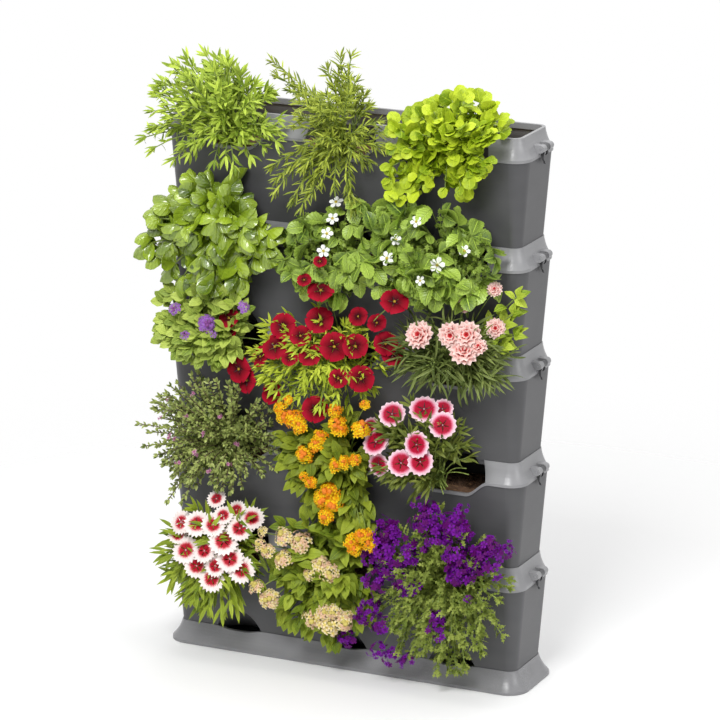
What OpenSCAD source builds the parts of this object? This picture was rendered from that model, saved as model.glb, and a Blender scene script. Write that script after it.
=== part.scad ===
// Vertical planter: a floor tray and stacked troughs, each closed by a collar with three
// planting openings at the front. Two hinged clips hold each collar down on its trough.
// X runs along the width, the planted front faces -Y, and the origin is at the centre of
// the tray's underside. All lengths are in millimetres.

/* [Stack] */
// Number of troughs in the stack
levels = 5; // [1:1:5]
// Height of one trough from its foot to its rim
pot_h = 152; // [130:1:180]
// Height of the sloping collar on each trough
collar_h = 37; // [34:1:45]
// Height of the floor tray
tray_h = 37; // [34:1:45]
// Depth that a trough's plug sits down in the collar or tray below it
nest = 10; // [6:0.5:12]

/* [Plan] */
// Width of a collar over its lower lip
rim_w = 680; // [660:5:760]
// Depth of a collar over its lower lip
rim_d = 150; // [142:1:180]
// Outer corner radius of a collar's lower lip
rim_r = 32; // [30:1:36]
// How far a trough's foot is drawn in from the collar's lip
taper = 15; // [12:0.5:17]
// Step from the foot in to the plug that nests below it
shoulder = 5; // [4:0.25:6]
// Ledge of the collar that shows round the foot above it
ledge = 1.3; // [0.8:0.1:1.8]
// How far the tray's skirt stands out past the collars
tray_flare = 5; // [2:0.5:12]

/* [Walls] */
// Thickness of the moulded walls
wall = 2.2; // [1.8:0.1:2.5]
// Height of a collar's upright lower lip above the trough's rim
lip_rise = 2; // [1:0.5:4]
// How far the collar's lip hangs down over the trough's rim
lip_drop = 3; // [2:0.5:5]
// How far a collar's inner flange reaches inside the trough's rim
flange = 3; // [1:0.5:5]
// Height of the tray's upright lower edge
tray_lip = 5; // [3:0.5:8]
// How far the collar's and tray's slopes sag inwards at mid height
sag = 2.5; // [0:0.5:3]
// Clearance between a collar's lip and the trough, and between soil and walls
fit_gap = 0.3; // [0.2:0.05:0.6]
// Clearance between a plug and the throat that it nests in
nest_gap = 0.4; // [0.3:0.05:0.8]

/* [Openings] */
// Distance between the middles of neighbouring openings
opening_pitch = 207; // [200:1:215]
// Half width of a collar's opening at its lower edge
opening_low = 68; // [62:1:70]
// Half width of a collar's opening at its upper edge
opening_high = 58; // [52:1:60]
// Half width of the dip in the trough's rim at each opening
dip_half = 73; // [72:1:80]
// Half width of the level bottom of that dip
dip_flat = 28; // [20:1:34]
// Depth of that dip
dip_depth = 26; // [20:1:28]
// Half width of the shallow dips in the tray's upper edge
tray_dip_half = 50; // [40:1:56]
// Depth of those shallow dips
tray_dip_depth = 5; // [3:0.5:8]
// Half width of their level bottom
tray_dip_flat = 12; // [6:1:20]
// Radius of the arched scoop in a trough's foot above each opening
scoop_r = 52; // [46:1:56]
// Height of the scoop's arch on the trough's front wall
scoop_h = 32; // [26:1:38]
// Slope of the scoop, backwards and down, in degrees
scoop_tilt = 42; // [36:1:48]
// Radius of the drain holes in a trough's floor
drain_r = 4; // [3:0.5:6]
// How far behind the middle the drain holes lie
drain_back = 20; // [12:1:28]

/* [Clips] */
// Offset of the clips behind the middle of the planter
clip_back = 6; // [0:1:12]
// How far the clip's pin lies outside the collar's lip
pin_out = 3.5; // [3:0.1:5]
// Height of the clip's pin above the trough's rim
pin_rise = 12; // [11:0.5:14]
// Radius of the clip's pin
pin_r = 1.5; // [1.2:0.1:2]
// Running clearance round the pin
pin_gap = 0.05; // [0.03:0.01:0.1]
// Radius of the two knuckles on the collar
knuckle_r = 6.5; // [6:0.1:7]
// Length of each knuckle
knuckle_len = 14; // [8:1:18]
// Radius of the clip's barrel round the pin
barrel_r = 5.5; // [5:0.1:6]
// Length of the clip's barrel between the knuckles
barrel_len = 15; // [12:1:16]
// Space between the barrel and each knuckle
side_gap = 0.4; // [0.2:0.1:1]
// Width of the clip's tongue at its widest
tongue_w = 22; // [20:1:26]
// Distance from the pin to the tip of the tongue
tongue_len = 29; // [26:1:34]
// Thickness of the tongue
tongue_t = 3.5; // [3:0.25:4]
// Radius of the tongue's rounded tip
tip_r = 5; // [4:0.5:6]
// Width of the window in the tongue
window_w = 12; // [9:0.5:13]
// Height of the window in the tongue
window_h = 7; // [6.5:0.25:7.5]
// Radius of the collar's stud that the window clicks over
stud_r = 2.6; // [2:0.1:2.8]

/* [Planting] */
// How far the soil lies below a trough's rim
soil_drop = 34; // [30:1:45]
// Clearance that the planting keeps from the soil and the planter
plant_gap = 2.5; // [1:0.5:5]
// Half width of a plant where it passes through its opening
stem_half = 44; // [30:1:46]
// Height above the rim of a plant where it passes through its opening
stem_top = 36; // [16:1:36]
// Depth of the lumps in a plant's outline, as a part of its size
lump = 0.05; // [0:0.01:0.06]

/* [Hidden] */
$fn = 64;
eps = 0.01;

// The rounded plan of every moulding is one core rectangle plus a reach outside it
core_x = rim_w / 2 - rim_r;
core_y = rim_d / 2 - rim_r;
lip_reach = rim_r;
lip_in = lip_reach - wall;
pot_rim = lip_in - fit_gap;
foot_reach = lip_reach - taper;
plug_reach = foot_reach - shoulder;
throat_reach = plug_reach + nest_gap;
top_reach = foot_reach + ledge;
tray_reach = lip_reach + tray_flare;
level_h = pot_h + collar_h;
wall_slope = (pot_rim - foot_reach) / pot_h;
slope_steps = 6;
wave_steps = 10;

// Heights of a trough's foot and rim in the stack
function foot_z(k) = tray_h + (k - 1) * level_h;
function rim_z(k) = foot_z(k) + pot_h;

// Reach of a trough's outer wall at a height measured from its rim
function wall_out(z) = pot_rim + wall_slope * z;

// The slots along the width: -1 left, 0 middle, 1 right
slots = [-1, 0, 1];

// Points along a slope that sags inwards between a low and a high end
function slope_points(low, high, dip) =
  let (
    run = high - low,
    inward = [-run[1], run[0]] / norm(run)
  )
  [for (i = [0 : slope_steps])
    let (t = i / slope_steps)
    low + run * t + inward * 4 * dip * t * (1 - t)
  ];

function backwards(points) = [for (i = [len(points) - 1 : -1 : 0]) points[i]];

// Depth of a smooth dip at a distance from its middle
function wave(x, half, flat, depth) =
  let (s = min(1, max(0, (abs(x) - flat) / (half - flat))))
  depth * (1 + cos(180 * s)) / 2;

// Places across a dip, with its level bottom as one straight stretch
function wave_places(half, flat) = concat(
  [for (i = [0 : wave_steps]) -half + (half - flat) * i / wave_steps],
  [for (i = [0 : wave_steps]) flat + (half - flat) * i / wave_steps]
);

// A profile of [reach, height] points carried round the core rectangle
module swept(profile) {
  for (side = [0 : 3]) {
    across = side % 2 == 0 ? core_x : core_y;
    along = side % 2 == 0 ? core_y : core_x;
    rotate(90 * side) translate([across, along, 0]) {
      rotate([90, 0, 0]) linear_extrude(2 * along) polygon(profile);
      rotate_extrude(angle = 90) polygon(profile);
    }
  }
}

// The level slab inside the core rectangle that closes a floor
module core_slab(low, high) {
  translate([-core_x, -core_y, low]) cube([2 * core_x, 2 * core_y, high - low]);
}

// A solid whose outline is a profile that starts and ends on the core rectangle
module filled(profile, low, high) {
  swept(profile);
  core_slab(low, high);
}

// A flat outline of [x, height] points pushed through the front wall
module through_front(points) {
  translate([0, -core_y, 0]) rotate([90, 0, 0]) linear_extrude(tray_reach + wall) polygon(points);
}

// A front profile of [reach, height] points carried along the width
module along_front(profile, half) {
  translate([half, -core_y, 0]) rotate(-90) rotate([90, 0, 0]) linear_extrude(2 * half) polygon(profile);
}

// The space above a dip in an upper edge
module dip_cut(top, half, flat, depth) {
  edge = [for (x = wave_places(half, flat)) [x, top - wave(x, half, flat, depth)]];
  through_front(concat(edge, [[half, top + wall], [-half, top + wall]]));
}

// The inner shape of the throat under a top ledge, from the ledge's edge inwards and down
function throat_points(top) = [
  [throat_reach, top],
  [throat_reach, top - nest],
  [throat_reach + wall, top - nest],
  [throat_reach + wall, top - wall]
];

// Floor tray: a saucer with a flared skirt, and a throat that holds the lowest trough
module base_tray() {
  outer = slope_points([tray_reach, tray_lip], [top_reach, tray_h], sag);
  inner = slope_points([tray_reach - wall, wall], [top_reach - wall, tray_h - wall], sag);
  profile = concat([[0, 0], [tray_reach, 0]], outer, throat_points(tray_h), backwards(inner), [[0, wall]]);
  color([0.48, 0.48, 0.49]) difference() {
    filled(profile, 0, wall);
    for (slot = slots) translate([slot * opening_pitch, 0, 0])
      dip_cut(tray_h, tray_dip_half, tray_dip_flat, tray_dip_depth);
  }
}

// Trough: a thin tapered tub, dipped at the rim and scooped at the foot for the openings
scoop_drop = scoop_r / cos(scoop_tilt) - scoop_h;
scoop_out = 2 * scoop_r;
scoop_back = 3 * scoop_r;
plug_in = plug_reach - wall;
foot_in = foot_reach - wall;

// The round bar, sloping back and down, that hollows one scoop
module scoop_bar(radius) {
  translate([0, -core_y - foot_reach, -scoop_drop]) rotate([-scoop_tilt, 0, 0]) rotate([90, 0, 0])
    translate([0, 0, -scoop_back]) cylinder(h = scoop_back + scoop_out, r = radius);
}

module scoop_bars(radius) {
  for (slot = slots) translate([slot * opening_pitch, 0, 0]) scoop_bar(radius);
}

// The trough's outline as a solid block
module pot_block() {
  filled([[0, -nest], [plug_reach, -nest], [plug_reach, 0], [foot_reach, 0], [pot_rim, pot_h], [0, pot_h]],
    -nest, pot_h);
}

module pot(k) {
  shell = [
    [0, -nest], [plug_reach, -nest], [plug_reach, 0], [foot_reach, 0], [pot_rim, pot_h],
    [pot_rim - wall, pot_h], [foot_in, wall], [plug_in, wall], [plug_in, wall - nest], [0, wall - nest]
  ];
  color([0.31, 0.31, 0.32]) translate([0, 0, foot_z(k)]) difference() {
    union() {
      filled(shell, -nest, wall - nest);
      intersection() {
        pot_block();
        scoop_bars(scoop_r + wall);
      }
    }
    scoop_bars(scoop_r);
    for (slot = slots) translate([slot * opening_pitch, 0, 0])
      dip_cut(pot_h, dip_half, dip_flat, dip_depth);
    drain_holes();
  }
}

// Drain holes between the scoops and outside them
drain_inner = opening_pitch / 2;
drain_outer = core_x - drain_r;
module drain_holes() {
  for (x = [-drain_outer, -drain_inner, drain_inner, drain_outer])
    translate([x, drain_back, -nest - wall]) cylinder(h = 3 * wall, r = drain_r);
}

// Soil: fills a trough up to its level, clear of the walls and scoops
module soil(k) {
  top = pot_h - soil_drop;
  top_in = wall_out(-soil_drop) - wall - fit_gap;
  floor_in = plug_in - fit_gap;
  step_in = foot_in - fit_gap;
  low = wall - nest;
  block = [
    [0, low], [floor_in, low], [floor_in, wall + fit_gap],
    [step_in, wall + fit_gap], [top_in, top], [0, top]
  ];
  color([0.16, 0.11, 0.07]) translate([0, 0, foot_z(k)]) difference() {
    filled(block, low, top);
    scoop_bars(scoop_r + wall + fit_gap);
  }
}

// Collar: a sloping frame with three openings and a lip that follows the rim's dips
module collar_ring() {
  outer = slope_points([lip_reach, lip_rise], [top_reach, collar_h], sag);
  inner = slope_points([lip_reach - wall, wall], [top_reach - wall, collar_h - wall], sag);
  inside = pot_rim - wall - flange;
  profile = concat(
    [[inside, 0], [lip_in, 0], [lip_in, -lip_drop], [lip_reach, -lip_drop]],
    outer, throat_points(collar_h), backwards(inner), [[inside, wall]]
  );
  swept(profile);
}

// The gap in the collar's front at one opening
module opening_cut() {
  low = -lip_drop - eps;
  high = collar_h + wall;
  through_front([[-opening_low, low], [opening_low, low], [opening_high, high], [-opening_high, high]]);
}

// The moulded edge that caps the trough's dipped rim at one opening
module dip_lip() {
  places = [for (x = wave_places(dip_half, dip_flat)) [x, -wave(x, dip_half, dip_flat, dip_depth)]];
  low = -dip_depth - lip_drop - wall;
  high = wall + fit_gap;
  outside = fit_gap + wall;
  cap = concat(
    [for (p = places) [p[0], p[1] + fit_gap]],
    backwards([for (p = places) [p[0], p[1] + fit_gap + wall]])
  );
  skirt = concat(
    [for (p = places) [p[0], p[1] - lip_drop]],
    backwards([for (p = places) [p[0], p[1] + fit_gap + wall]])
  );
  intersection() {
    through_front(cap);
    along_front([
      [wall_out(low) - wall, low], [wall_out(low) + outside, low],
      [wall_out(high) + outside, high], [wall_out(high) - wall, high]
    ], dip_half);
  }
  intersection() {
    through_front(skirt);
    along_front([
      [wall_out(low) + fit_gap, low], [wall_out(low) + outside, low],
      [wall_out(high) + outside, high], [wall_out(high) + fit_gap, high]
    ], dip_half);
  }
}

// The end of a clip's pin axis, seen along the depth, at the right end of the planter
pin_x = core_x + lip_reach + pin_out;
knuckle_start = barrel_len / 2 + side_gap;

// A flat outline of [x, height] points and its depth range, extruded along the depth
module along_depth(from, to) {
  translate([0, to, 0]) rotate([90, 0, 0]) linear_extrude(to - from) children();
}

// One pair of knuckles, and the stud below them that the clip's window clicks over
module clip_seat() {
  slope = slope_points([lip_reach, lip_rise], [top_reach, collar_h], sag);
  head = slope[slope_steps / 2];
  foot_x = core_x + lip_reach - wall / 2;
  head_x = core_x + head[0] - wall / 2;
  web_x = pin_x - tongue_t / 2 - side_gap;
  for (side = [-1, 1]) translate([0, clip_back + side * (knuckle_start + knuckle_len / 2), 0])
    difference() {
      along_depth(-knuckle_len / 2, knuckle_len / 2) union() {
        translate([pin_x, pin_rise]) circle(knuckle_r);
        polygon([
          [foot_x, lip_rise], [web_x, pin_rise - knuckle_r], [pin_x, pin_rise - knuckle_r],
          [pin_x, pin_rise + knuckle_r], [head_x, head[1]]
        ]);
      }
      translate([pin_x, 0, pin_rise]) rotate([90, 0, 0])
        cylinder(h = knuckle_len + 2 * wall, r = pin_r + pin_gap, center = true);
    }
  translate([foot_x, clip_back, pin_rise - barrel_r - window_h / 2 - side_gap]) rotate([0, 90, 0])
    cylinder(h = pin_x - foot_x, r = stud_r);
}

module collar(k) {
  color([0.45, 0.45, 0.46]) translate([0, 0, rim_z(k)]) union() {
    difference() {
      collar_ring();
      for (slot = slots) translate([slot * opening_pitch, 0, 0]) opening_cut();
    }
    for (slot = slots) translate([slot * opening_pitch, 0, 0]) dip_lip();
    clip_seat();
    mirror([1, 0, 0]) clip_seat();
  }
}

// Clip: a barrel on the pin, and a tongue with a window that hangs over the rim
module clip(k, end) {
  window_z = -barrel_r - window_h / 2 - side_gap;
  waist = knuckle_r + side_gap;
  wide_z = -waist - (tongue_w - barrel_len) / 2;
  low_z = -tongue_len + 2 * tip_r;
  color([0.27, 0.27, 0.28]) mirror([end < 0 ? 1 : 0, 0, 0])
    translate([pin_x, clip_back, rim_z(k) + pin_rise]) difference() {
      union() {
        rotate([90, 0, 0]) cylinder(h = barrel_len, r = barrel_r, center = true);
        rotate([90, 0, 90]) translate([0, 0, -tongue_t / 2]) linear_extrude(tongue_t) difference() {
          union() {
            polygon([
              [-barrel_len / 2, 0], [barrel_len / 2, 0], [barrel_len / 2, -waist], [tongue_w / 2, wide_z],
              [tongue_w / 2, low_z], [tip_r, tip_r - tongue_len], [-tip_r, tip_r - tongue_len],
              [-tongue_w / 2, low_z], [-tongue_w / 2, wide_z], [-barrel_len / 2, -waist]
            ]);
            translate([0, tip_r - tongue_len]) circle(tip_r);
          }
          for (side = [-1, 1]) translate([side * (window_w - window_h) / 2, window_z]) circle(window_h / 2);
          translate([0, window_z]) square([window_w - window_h, window_h], center = true);
        }
      }
      rotate([90, 0, 0]) cylinder(h = 2 * barrel_len, r = pin_r + pin_gap, center = true);
    }
}

// Both pins of one collar, each through two knuckles and the barrel between them
module clip_pins(k) {
  color([0.62, 0.62, 0.64]) for (end = [-1, 1])
    translate([end * pin_x, clip_back, rim_z(k) + pin_rise]) rotate([90, 0, 0])
      cylinder(h = barrel_len + 2 * (knuckle_len + side_gap), r = pin_r, center = true);
}

// Planting: one closed bush for each opening, rooted on the soil and grown out to the front
// Each row: name, level, slot, sideways lean, half width, rise, drop, reach and colour
PLANTS = [
  ["lance_herb", 5, -1, -24, 134, 142, 60, 64, [0.56, 0.68, 0.18]],
  ["needle_herb", 5, 0, -6, 74, 160, 96, 64, [0.48, 0.60, 0.22]],
  ["round_leaf_herb", 5, 1, 0, 116, 122, 72, 64, [0.60, 0.76, 0.24]],
  ["basil", 4, -1, -28, 128, 115, 98, 72, [0.42, 0.60, 0.14]],
  ["strawberry_middle", 4, 0, -8, 80, 78, 82, 64, [0.46, 0.62, 0.20]],
  ["strawberry_right", 4, 1, -10, 110, 98, 60, 64, [0.46, 0.62, 0.20]],
  ["lilac_bush", 3, -1, -43, 86, 78, 32, 56, [0.50, 0.64, 0.30]],
  ["red_trumpets", 3, 0, -30, 118, 92, 90, 72, [0.70, 0.04, 0.12]],
  ["salmon_pinks", 3, 1, 17, 114, 115, 28, 64, [0.92, 0.50, 0.48]],
  ["fine_leaf_bush", 2, -1, -23, 130, 141, 78, 68, [0.26, 0.40, 0.16]],
  ["yellow_clusters", 2, 0, -8, 76, 86, 98, 68, [0.92, 0.62, 0.10]],
  ["crimson_eyes", 2, 1, -35, 92, 145, 32, 64, [0.88, 0.30, 0.48]],
  ["red_eyes", 1, -1, -19, 96, 95, 108, 68, [0.92, 0.80, 0.80]],
  ["cream_clusters", 1, 0, -26, 86, 74, 138, 68, [0.88, 0.80, 0.58]],
  ["violet_clusters", 1, 1, 1, 130, 138, 149, 75, [0.36, 0.10, 0.66]]
];
// The spacing that the table is drawn for: the plants grow with the openings and levels
drawn_pitch = 207;
drawn_level = 189;
grow = opening_pitch / drawn_pitch;
climb = level_h / drawn_level;
function grown(row) = [
  row[0], row[1], row[2], grow * row[3], grow * row[4],
  climb * row[5], climb * row[6], grow * row[7], row[8]
];
sides = 24;
front_y = -core_y - lip_reach - plant_gap;
soil_z = fit_gap - soil_drop;
lip_z = plant_gap + wall - dip_depth;

// One upright station of a bush, across the depth: its depth, its middle's place and height,
// its lowest and highest point, its half width above and below the middle, and its lumps
function station(y, x, mid, low, high, upper, lower, lumps) = [y, x, mid, low, high, upper, lower, lumps];

// The crown of a bush on the top level, which also grows out of the collar's mouth:
// each station's distance behind the front wall's core, and its share of the full size
crown_mid = collar_h + 23 * climb;
crown_low = crown_mid - 8 * climb;
crown_half = stem_half + 35 * grow;
CROWN = [[66, 0.25], [56, 0.62], [42, 0.84], [28, 0.95], [16, 1]];
function crown_stations(x, rise) =
  [for (c = CROWN)
    station(grow * c[0] - core_y, x, crown_mid, crown_low, crown_mid + (rise - crown_mid) * c[1],
      crown_half * c[1], stem_half * c[1], lump)
  ];

// The root end of a lower bush: distance behind the front wall's core, half width and height
ROOT = [[16, 12, 14], [8, 35, 40]];
function root_stations(x) =
  [for (r = ROOT)
    station(grow * r[0] - core_y, x, soil_z + climb * r[2] / 2, soil_z, soil_z + climb * r[2],
      grow * r[1], grow * r[1], 0)
  ];

// The stem of a bush: from the soil, over the dipped lip and out of the opening
lip_back = 6 * grow;
lip_step = 5 * grow;
over_soil = -core_y - wall_out(-soil_drop) + wall + lip_back;
function stem_stations(x, rise, tall) =
  let (
    mid = tall ? crown_mid : (stem_top + lip_z) / 2,
    high = tall ? rise : stem_top,
    half = tall ? crown_half : stem_half
  )
  concat(
    tall ? crown_stations(x, rise) : root_stations(x),
    [
      station(over_soil, x, mid, soil_z, high, half, stem_half, 0),
      station(over_soil - lip_step, x, mid, lip_z, high, half, stem_half, 0),
      station(front_y, x, mid, lip_z, high, half, stem_half, 0)
    ]
  );

// The mound in front of the planter, rounded towards its front
mound_steps = 5;
mound_end = 168;
function mound_stations(x, half, rise, drop, reach, start) =
  [for (i = [0 : mound_steps])
    let (
      turn = start + (mound_end - start) * i / mound_steps,
      full = pow(sin(turn), 0.7),
      y = front_y - reach * (1 - cos(turn)) / 2,
      mid = (rise - drop) / 2,
      tall = full * (rise + drop) / 2
    )
    station(y, x, mid, mid - tall, mid + tall, full * half, full * half, lump)
  ];

// The points round one station, lumpy by a formula that differs from station to station
function station_ring(s, place) =
  [for (j = [0 : sides - 1])
    let (
      a = 360 * j / sides,
      above = j <= sides / 2,
      across = above ? s[5] : s[6],
      up = above ? s[4] - s[2] : s[2] - s[3],
      swell = 1 + s[7] * sin(5 * a + 70 * place)
    )
    [s[1] + across * cos(a) * swell, s[0], s[2] + up * sin(a) * swell]
  ];

// A closed skin over a row of stations that runs from the back to the front
module bush(stations) {
  rings = len(stations);
  points = [for (i = [0 : rings - 1]) each station_ring(stations[i], i)];
  back_cap = [for (j = [0 : sides - 1]) j];
  front_cap = [for (j = [sides - 1 : -1 : 0]) (rings - 1) * sides + j];
  skin = [for (i = [0 : rings - 2], j = [0 : sides - 1])
    let (
      next = (j + 1) % sides,
      here = i * sides,
      ahead = (i + 1) * sides
    )
    each [[here + j, ahead + j, ahead + next], [here + j, ahead + next, here + next]]
  ];
  polyhedron(points, concat([back_cap, front_cap], skin));
}

full_start = 70;
slim_start = 40;
module plant(row) {
  x = row[2] * opening_pitch;
  tall = row[1] == levels;
  stations = concat(
    stem_stations(x, row[5], tall),
    mound_stations(x + row[3], row[4], row[5], row[6], row[7], tall ? full_start : slim_start)
  );
  color(row[8]) translate([0, 0, rim_z(row[1])]) bush(stations);
}

// Which plants stand in the stack, and every node's name
planted = [for (row = PLANTS) if (row[1] <= levels) grown(row)];
ENDS = [["left", -1], ["right", 1]];

base_tray();
for (k = [1 : levels]) {
  pot(k);
  soil(k);
  collar(k);
  clip_pins(k);
  for (end = ENDS) clip(k, end[1]);
}
for (row = planted) plant(row);
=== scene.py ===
# %% [markdown]
# # A planted tower of troughs
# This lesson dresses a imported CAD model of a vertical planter: a floor tray, five tapered
# troughs with sloping collars, hinged clips, and fifteen plants that grow out of its front.
# The CAD model is the fixed frame. Every piece made here sits in that frame, in metres, and
# rides on one of its bodies, so that it follows when a level is lifted or a clip swings.

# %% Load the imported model
import math

import bmesh
import bpy
import numpy as np
from mathutils import Matrix, Vector


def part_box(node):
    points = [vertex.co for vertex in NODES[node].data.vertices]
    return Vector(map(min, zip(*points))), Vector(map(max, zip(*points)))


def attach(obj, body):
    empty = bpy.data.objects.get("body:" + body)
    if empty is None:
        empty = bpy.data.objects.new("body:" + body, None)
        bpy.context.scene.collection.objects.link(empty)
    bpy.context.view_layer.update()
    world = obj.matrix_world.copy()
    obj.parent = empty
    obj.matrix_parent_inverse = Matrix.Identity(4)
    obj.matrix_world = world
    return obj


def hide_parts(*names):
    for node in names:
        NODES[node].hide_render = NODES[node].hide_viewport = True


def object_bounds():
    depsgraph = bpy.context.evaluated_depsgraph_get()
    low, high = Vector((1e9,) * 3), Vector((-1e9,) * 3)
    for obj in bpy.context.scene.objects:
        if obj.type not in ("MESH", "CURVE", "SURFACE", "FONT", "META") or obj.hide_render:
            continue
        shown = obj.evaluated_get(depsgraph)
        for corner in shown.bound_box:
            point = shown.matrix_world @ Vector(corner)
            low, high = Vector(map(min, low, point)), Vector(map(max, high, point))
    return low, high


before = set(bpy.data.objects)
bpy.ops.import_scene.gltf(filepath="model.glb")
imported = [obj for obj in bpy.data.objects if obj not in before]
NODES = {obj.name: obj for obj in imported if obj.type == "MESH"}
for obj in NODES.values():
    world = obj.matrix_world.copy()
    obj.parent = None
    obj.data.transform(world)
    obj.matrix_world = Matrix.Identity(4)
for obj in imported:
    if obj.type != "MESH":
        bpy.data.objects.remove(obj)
CAD_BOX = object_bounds()
LEVELS = 5
MM = 0.001

# %% [markdown]
# ## The camera
# The camera stands where the photograph was taken from: seven metres away with a long lens,
# 25 degrees round to the right and 16 degrees up. Its place was worked out from the
# planter's edges. A long lens keeps the collars' lines almost parallel, as they are in a
# catalogue picture.

# %% Place the camera
FOCAL_PX, FRAME_PX, SENSOR_MM = 4048.5, 720, 36
AZIMUTH, ELEVATION, DISTANCE = math.radians(25.12), math.radians(16.146), 7.0414
TARGET = Vector((0.0025, 0, 0.5447))

towards_camera = Vector((
    math.sin(AZIMUTH) * math.cos(ELEVATION),
    -math.cos(AZIMUTH) * math.cos(ELEVATION),
    math.sin(ELEVATION),
))
camera = bpy.data.objects.new("camera", bpy.data.cameras.new("camera"))
camera.data.sensor_width = SENSOR_MM
camera.data.lens = FOCAL_PX * SENSOR_MM / FRAME_PX
camera.data.clip_end = 50
camera.location = TARGET + towards_camera * DISTANCE
camera.rotation_euler = towards_camera.to_track_quat("Z", "Y").to_euler()
scene = bpy.context.scene
scene.collection.objects.link(camera)
scene.camera = camera
scene.view_settings.view_transform = "Standard"
print("lens", round(camera.data.lens, 1), "mm")

# %% [markdown]
# ## Shader maths in plain Python
# Materials are node trees, and a tree written link by link is hard to read. `Wire` wraps one
# socket and overloads the operators, so that `0.4 + 0.1 * grain` adds its Math nodes.
# `Finish` starts a material with one Principled shader, and its `node` method makes any
# other node from its type, its settings and its sockets' values.

# %% Wire and Finish
class Wire:
    """One output socket. Sums and products of wires and numbers add Math nodes."""

    def __init__(self, finish, socket):
        self.finish, self.socket = finish, socket

    def maths(self, operation, *values):
        return self.finish.node("Math", {"operation": operation}, *values)

    def __add__(self, other):
        return self.maths("ADD", self, other)

    def __mul__(self, other):
        return self.maths("MULTIPLY", self, other)

    def __sub__(self, other):
        return self.maths("SUBTRACT", self, other)

    def __rsub__(self, other):
        return self.maths("SUBTRACT", other, self)

    __radd__, __rmul__ = __add__, __mul__

    def absolute(self):
        return self.maths("ABSOLUTE", self)

    def fraction(self):
        return self.maths("FRACT", self)

    def over(self, edge, softness):
        """1 where this wire is over the edge, 0 where it is under, with a soft step between."""
        smooth = {"interpolation_type": "SMOOTHSTEP"}
        return self.finish.node("MapRange", smooth, self, edge - softness, edge + softness)


class Finish:
    """A material with one Principled shader."""

    def __init__(self, name, roughness=0.5, **constants):
        self.material = bpy.data.materials.new(name)
        self.material.use_nodes = True
        self.tree = self.material.node_tree
        self.shader = self.tree.nodes["Principled BSDF"]
        self.shader.inputs["Roughness"].default_value = roughness
        for socket, value in constants.items():
            self.shader.inputs[socket.replace("_", " ")].default_value = value

    def node(self, kind, settings, *values, output=0):
        """Makes a node, sets it up, fills its sockets in order, and returns its output."""
        made = self.tree.nodes.new("ShaderNode" + kind)
        for name, value in settings.items():
            setattr(made, name, value)
        for socket, value in zip([s for s in made.inputs if s.enabled], values):
            if isinstance(value, Wire):
                self.tree.links.new(value.socket, socket)
            else:
                socket.default_value = value
        return Wire(self, [s for s in made.outputs if s.enabled][output])

    def place(self):
        """The Object coordinates, in metres in the planter's own frame."""
        return self.node("TexCoord", {}, output=3)

    def leaf_map(self):
        return self.node("UVMap", {"uv_map": "leaf"})

    def stretched(self, place, x, y, z):
        return self.node("VectorMath", {"operation": "MULTIPLY"}, place, (x, y, z))

    def noise(self, place, scale, detail=2.0):
        return self.node("TexNoise", {}, place, scale, detail)

    def blend(self, share, low, high):
        return self.node("Mix", {"data_type": "RGBA"}, share, low, high)

    def ramp(self, wire, *stops):
        """The tint for a wire's value, from stops of (value, tint)."""
        made = self.node("ValToRGB", {}, wire)
        elements = made.socket.node.color_ramp.elements
        while len(elements) < len(stops):
            elements.new(1.0)
        for element, (place, tint) in zip(elements, stops):
            element.position, element.color = place, tint
        return made

    def set(self, socket, wire):
        self.tree.links.new(wire.socket, self.shader.inputs[socket])

    def bump(self, height, distance):
        made = self.tree.nodes.new("ShaderNodeBump")
        made.inputs["Distance"].default_value = distance
        self.tree.links.new(height.socket, made.inputs["Height"])
        self.tree.links.new(made.outputs["Normal"], self.shader.inputs["Normal"])


def rgb(red, green, blue):
    """A screen colour, 0 to 255, as the linear colour that a shader reads."""
    def linear(value):
        share = value / 255
        return share / 12.92 if share <= 0.04045 else ((share + 0.055) / 1.055) ** 2.4
    return (linear(red), linear(green), linear(blue), 1.0)


def shade(tint, factor):
    return tuple(c * factor for c in tint[:3]) + (1.0,)

print("anthracite plastic is", [round(c, 3) for c in rgb(88, 88, 90)[:3]])

# %% [markdown]
# ## Studio
# A cut-out catalogue picture has soft light from above and a white ground. The world is
# plain white for camera and mirror rays, and a dimmer white for everything else. Three large
# area lamps give the planter its modelling: one high in front, one from its right end and
# one from above. The floor is a pale disc that fades into the white before its rim.

# %% World, lamps and floor
AMBIENT, SHOWN_WHITE = 0.45, 1.0
LAMPS = {  # place, side of the square and watts
    "key_lamp": ((0.2, -2.8, 3.3), 1.6, 114),
    "side_lamp": ((3.2, -0.6, 1.6), 1.6, 26),
    "top_lamp": ((0.0, 0.6, 3.6), 2.2, 50),
}
FLOOR_RADIUS, FLOOR_DROP = 3.0, 0.0005
FADE_RADIUS, FADE_SOFTNESS = 1.1, 0.7

world = bpy.data.worlds.new("studio")
scene.world = world
world.use_nodes = True
sky = world.node_tree
sky.nodes.clear()
path, either, shown, ambient, white, choice, out = (
    sky.nodes.new("ShaderNode" + kind) for kind in
    ("LightPath", "Math", "Math", "Background", "Background", "MixShader", "OutputWorld"))
either.operation = shown.operation = "MAXIMUM"
for background, strength in ((ambient, AMBIENT), (white, SHOWN_WHITE)):
    background.inputs["Color"].default_value = (1, 1, 1, 1)
    background.inputs["Strength"].default_value = strength
for source, target in (
    (path.outputs["Is Glossy Ray"], either.inputs[0]),
    (path.outputs["Is Transmission Ray"], either.inputs[1]),
    (path.outputs["Is Camera Ray"], shown.inputs[0]),
    (either.outputs[0], shown.inputs[1]),
    (shown.outputs[0], choice.inputs[0]),
    (ambient.outputs[0], choice.inputs[1]),
    (white.outputs[0], choice.inputs[2]),
    (choice.outputs[0], out.inputs[0]),
):
    sky.links.new(source, target)

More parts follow.
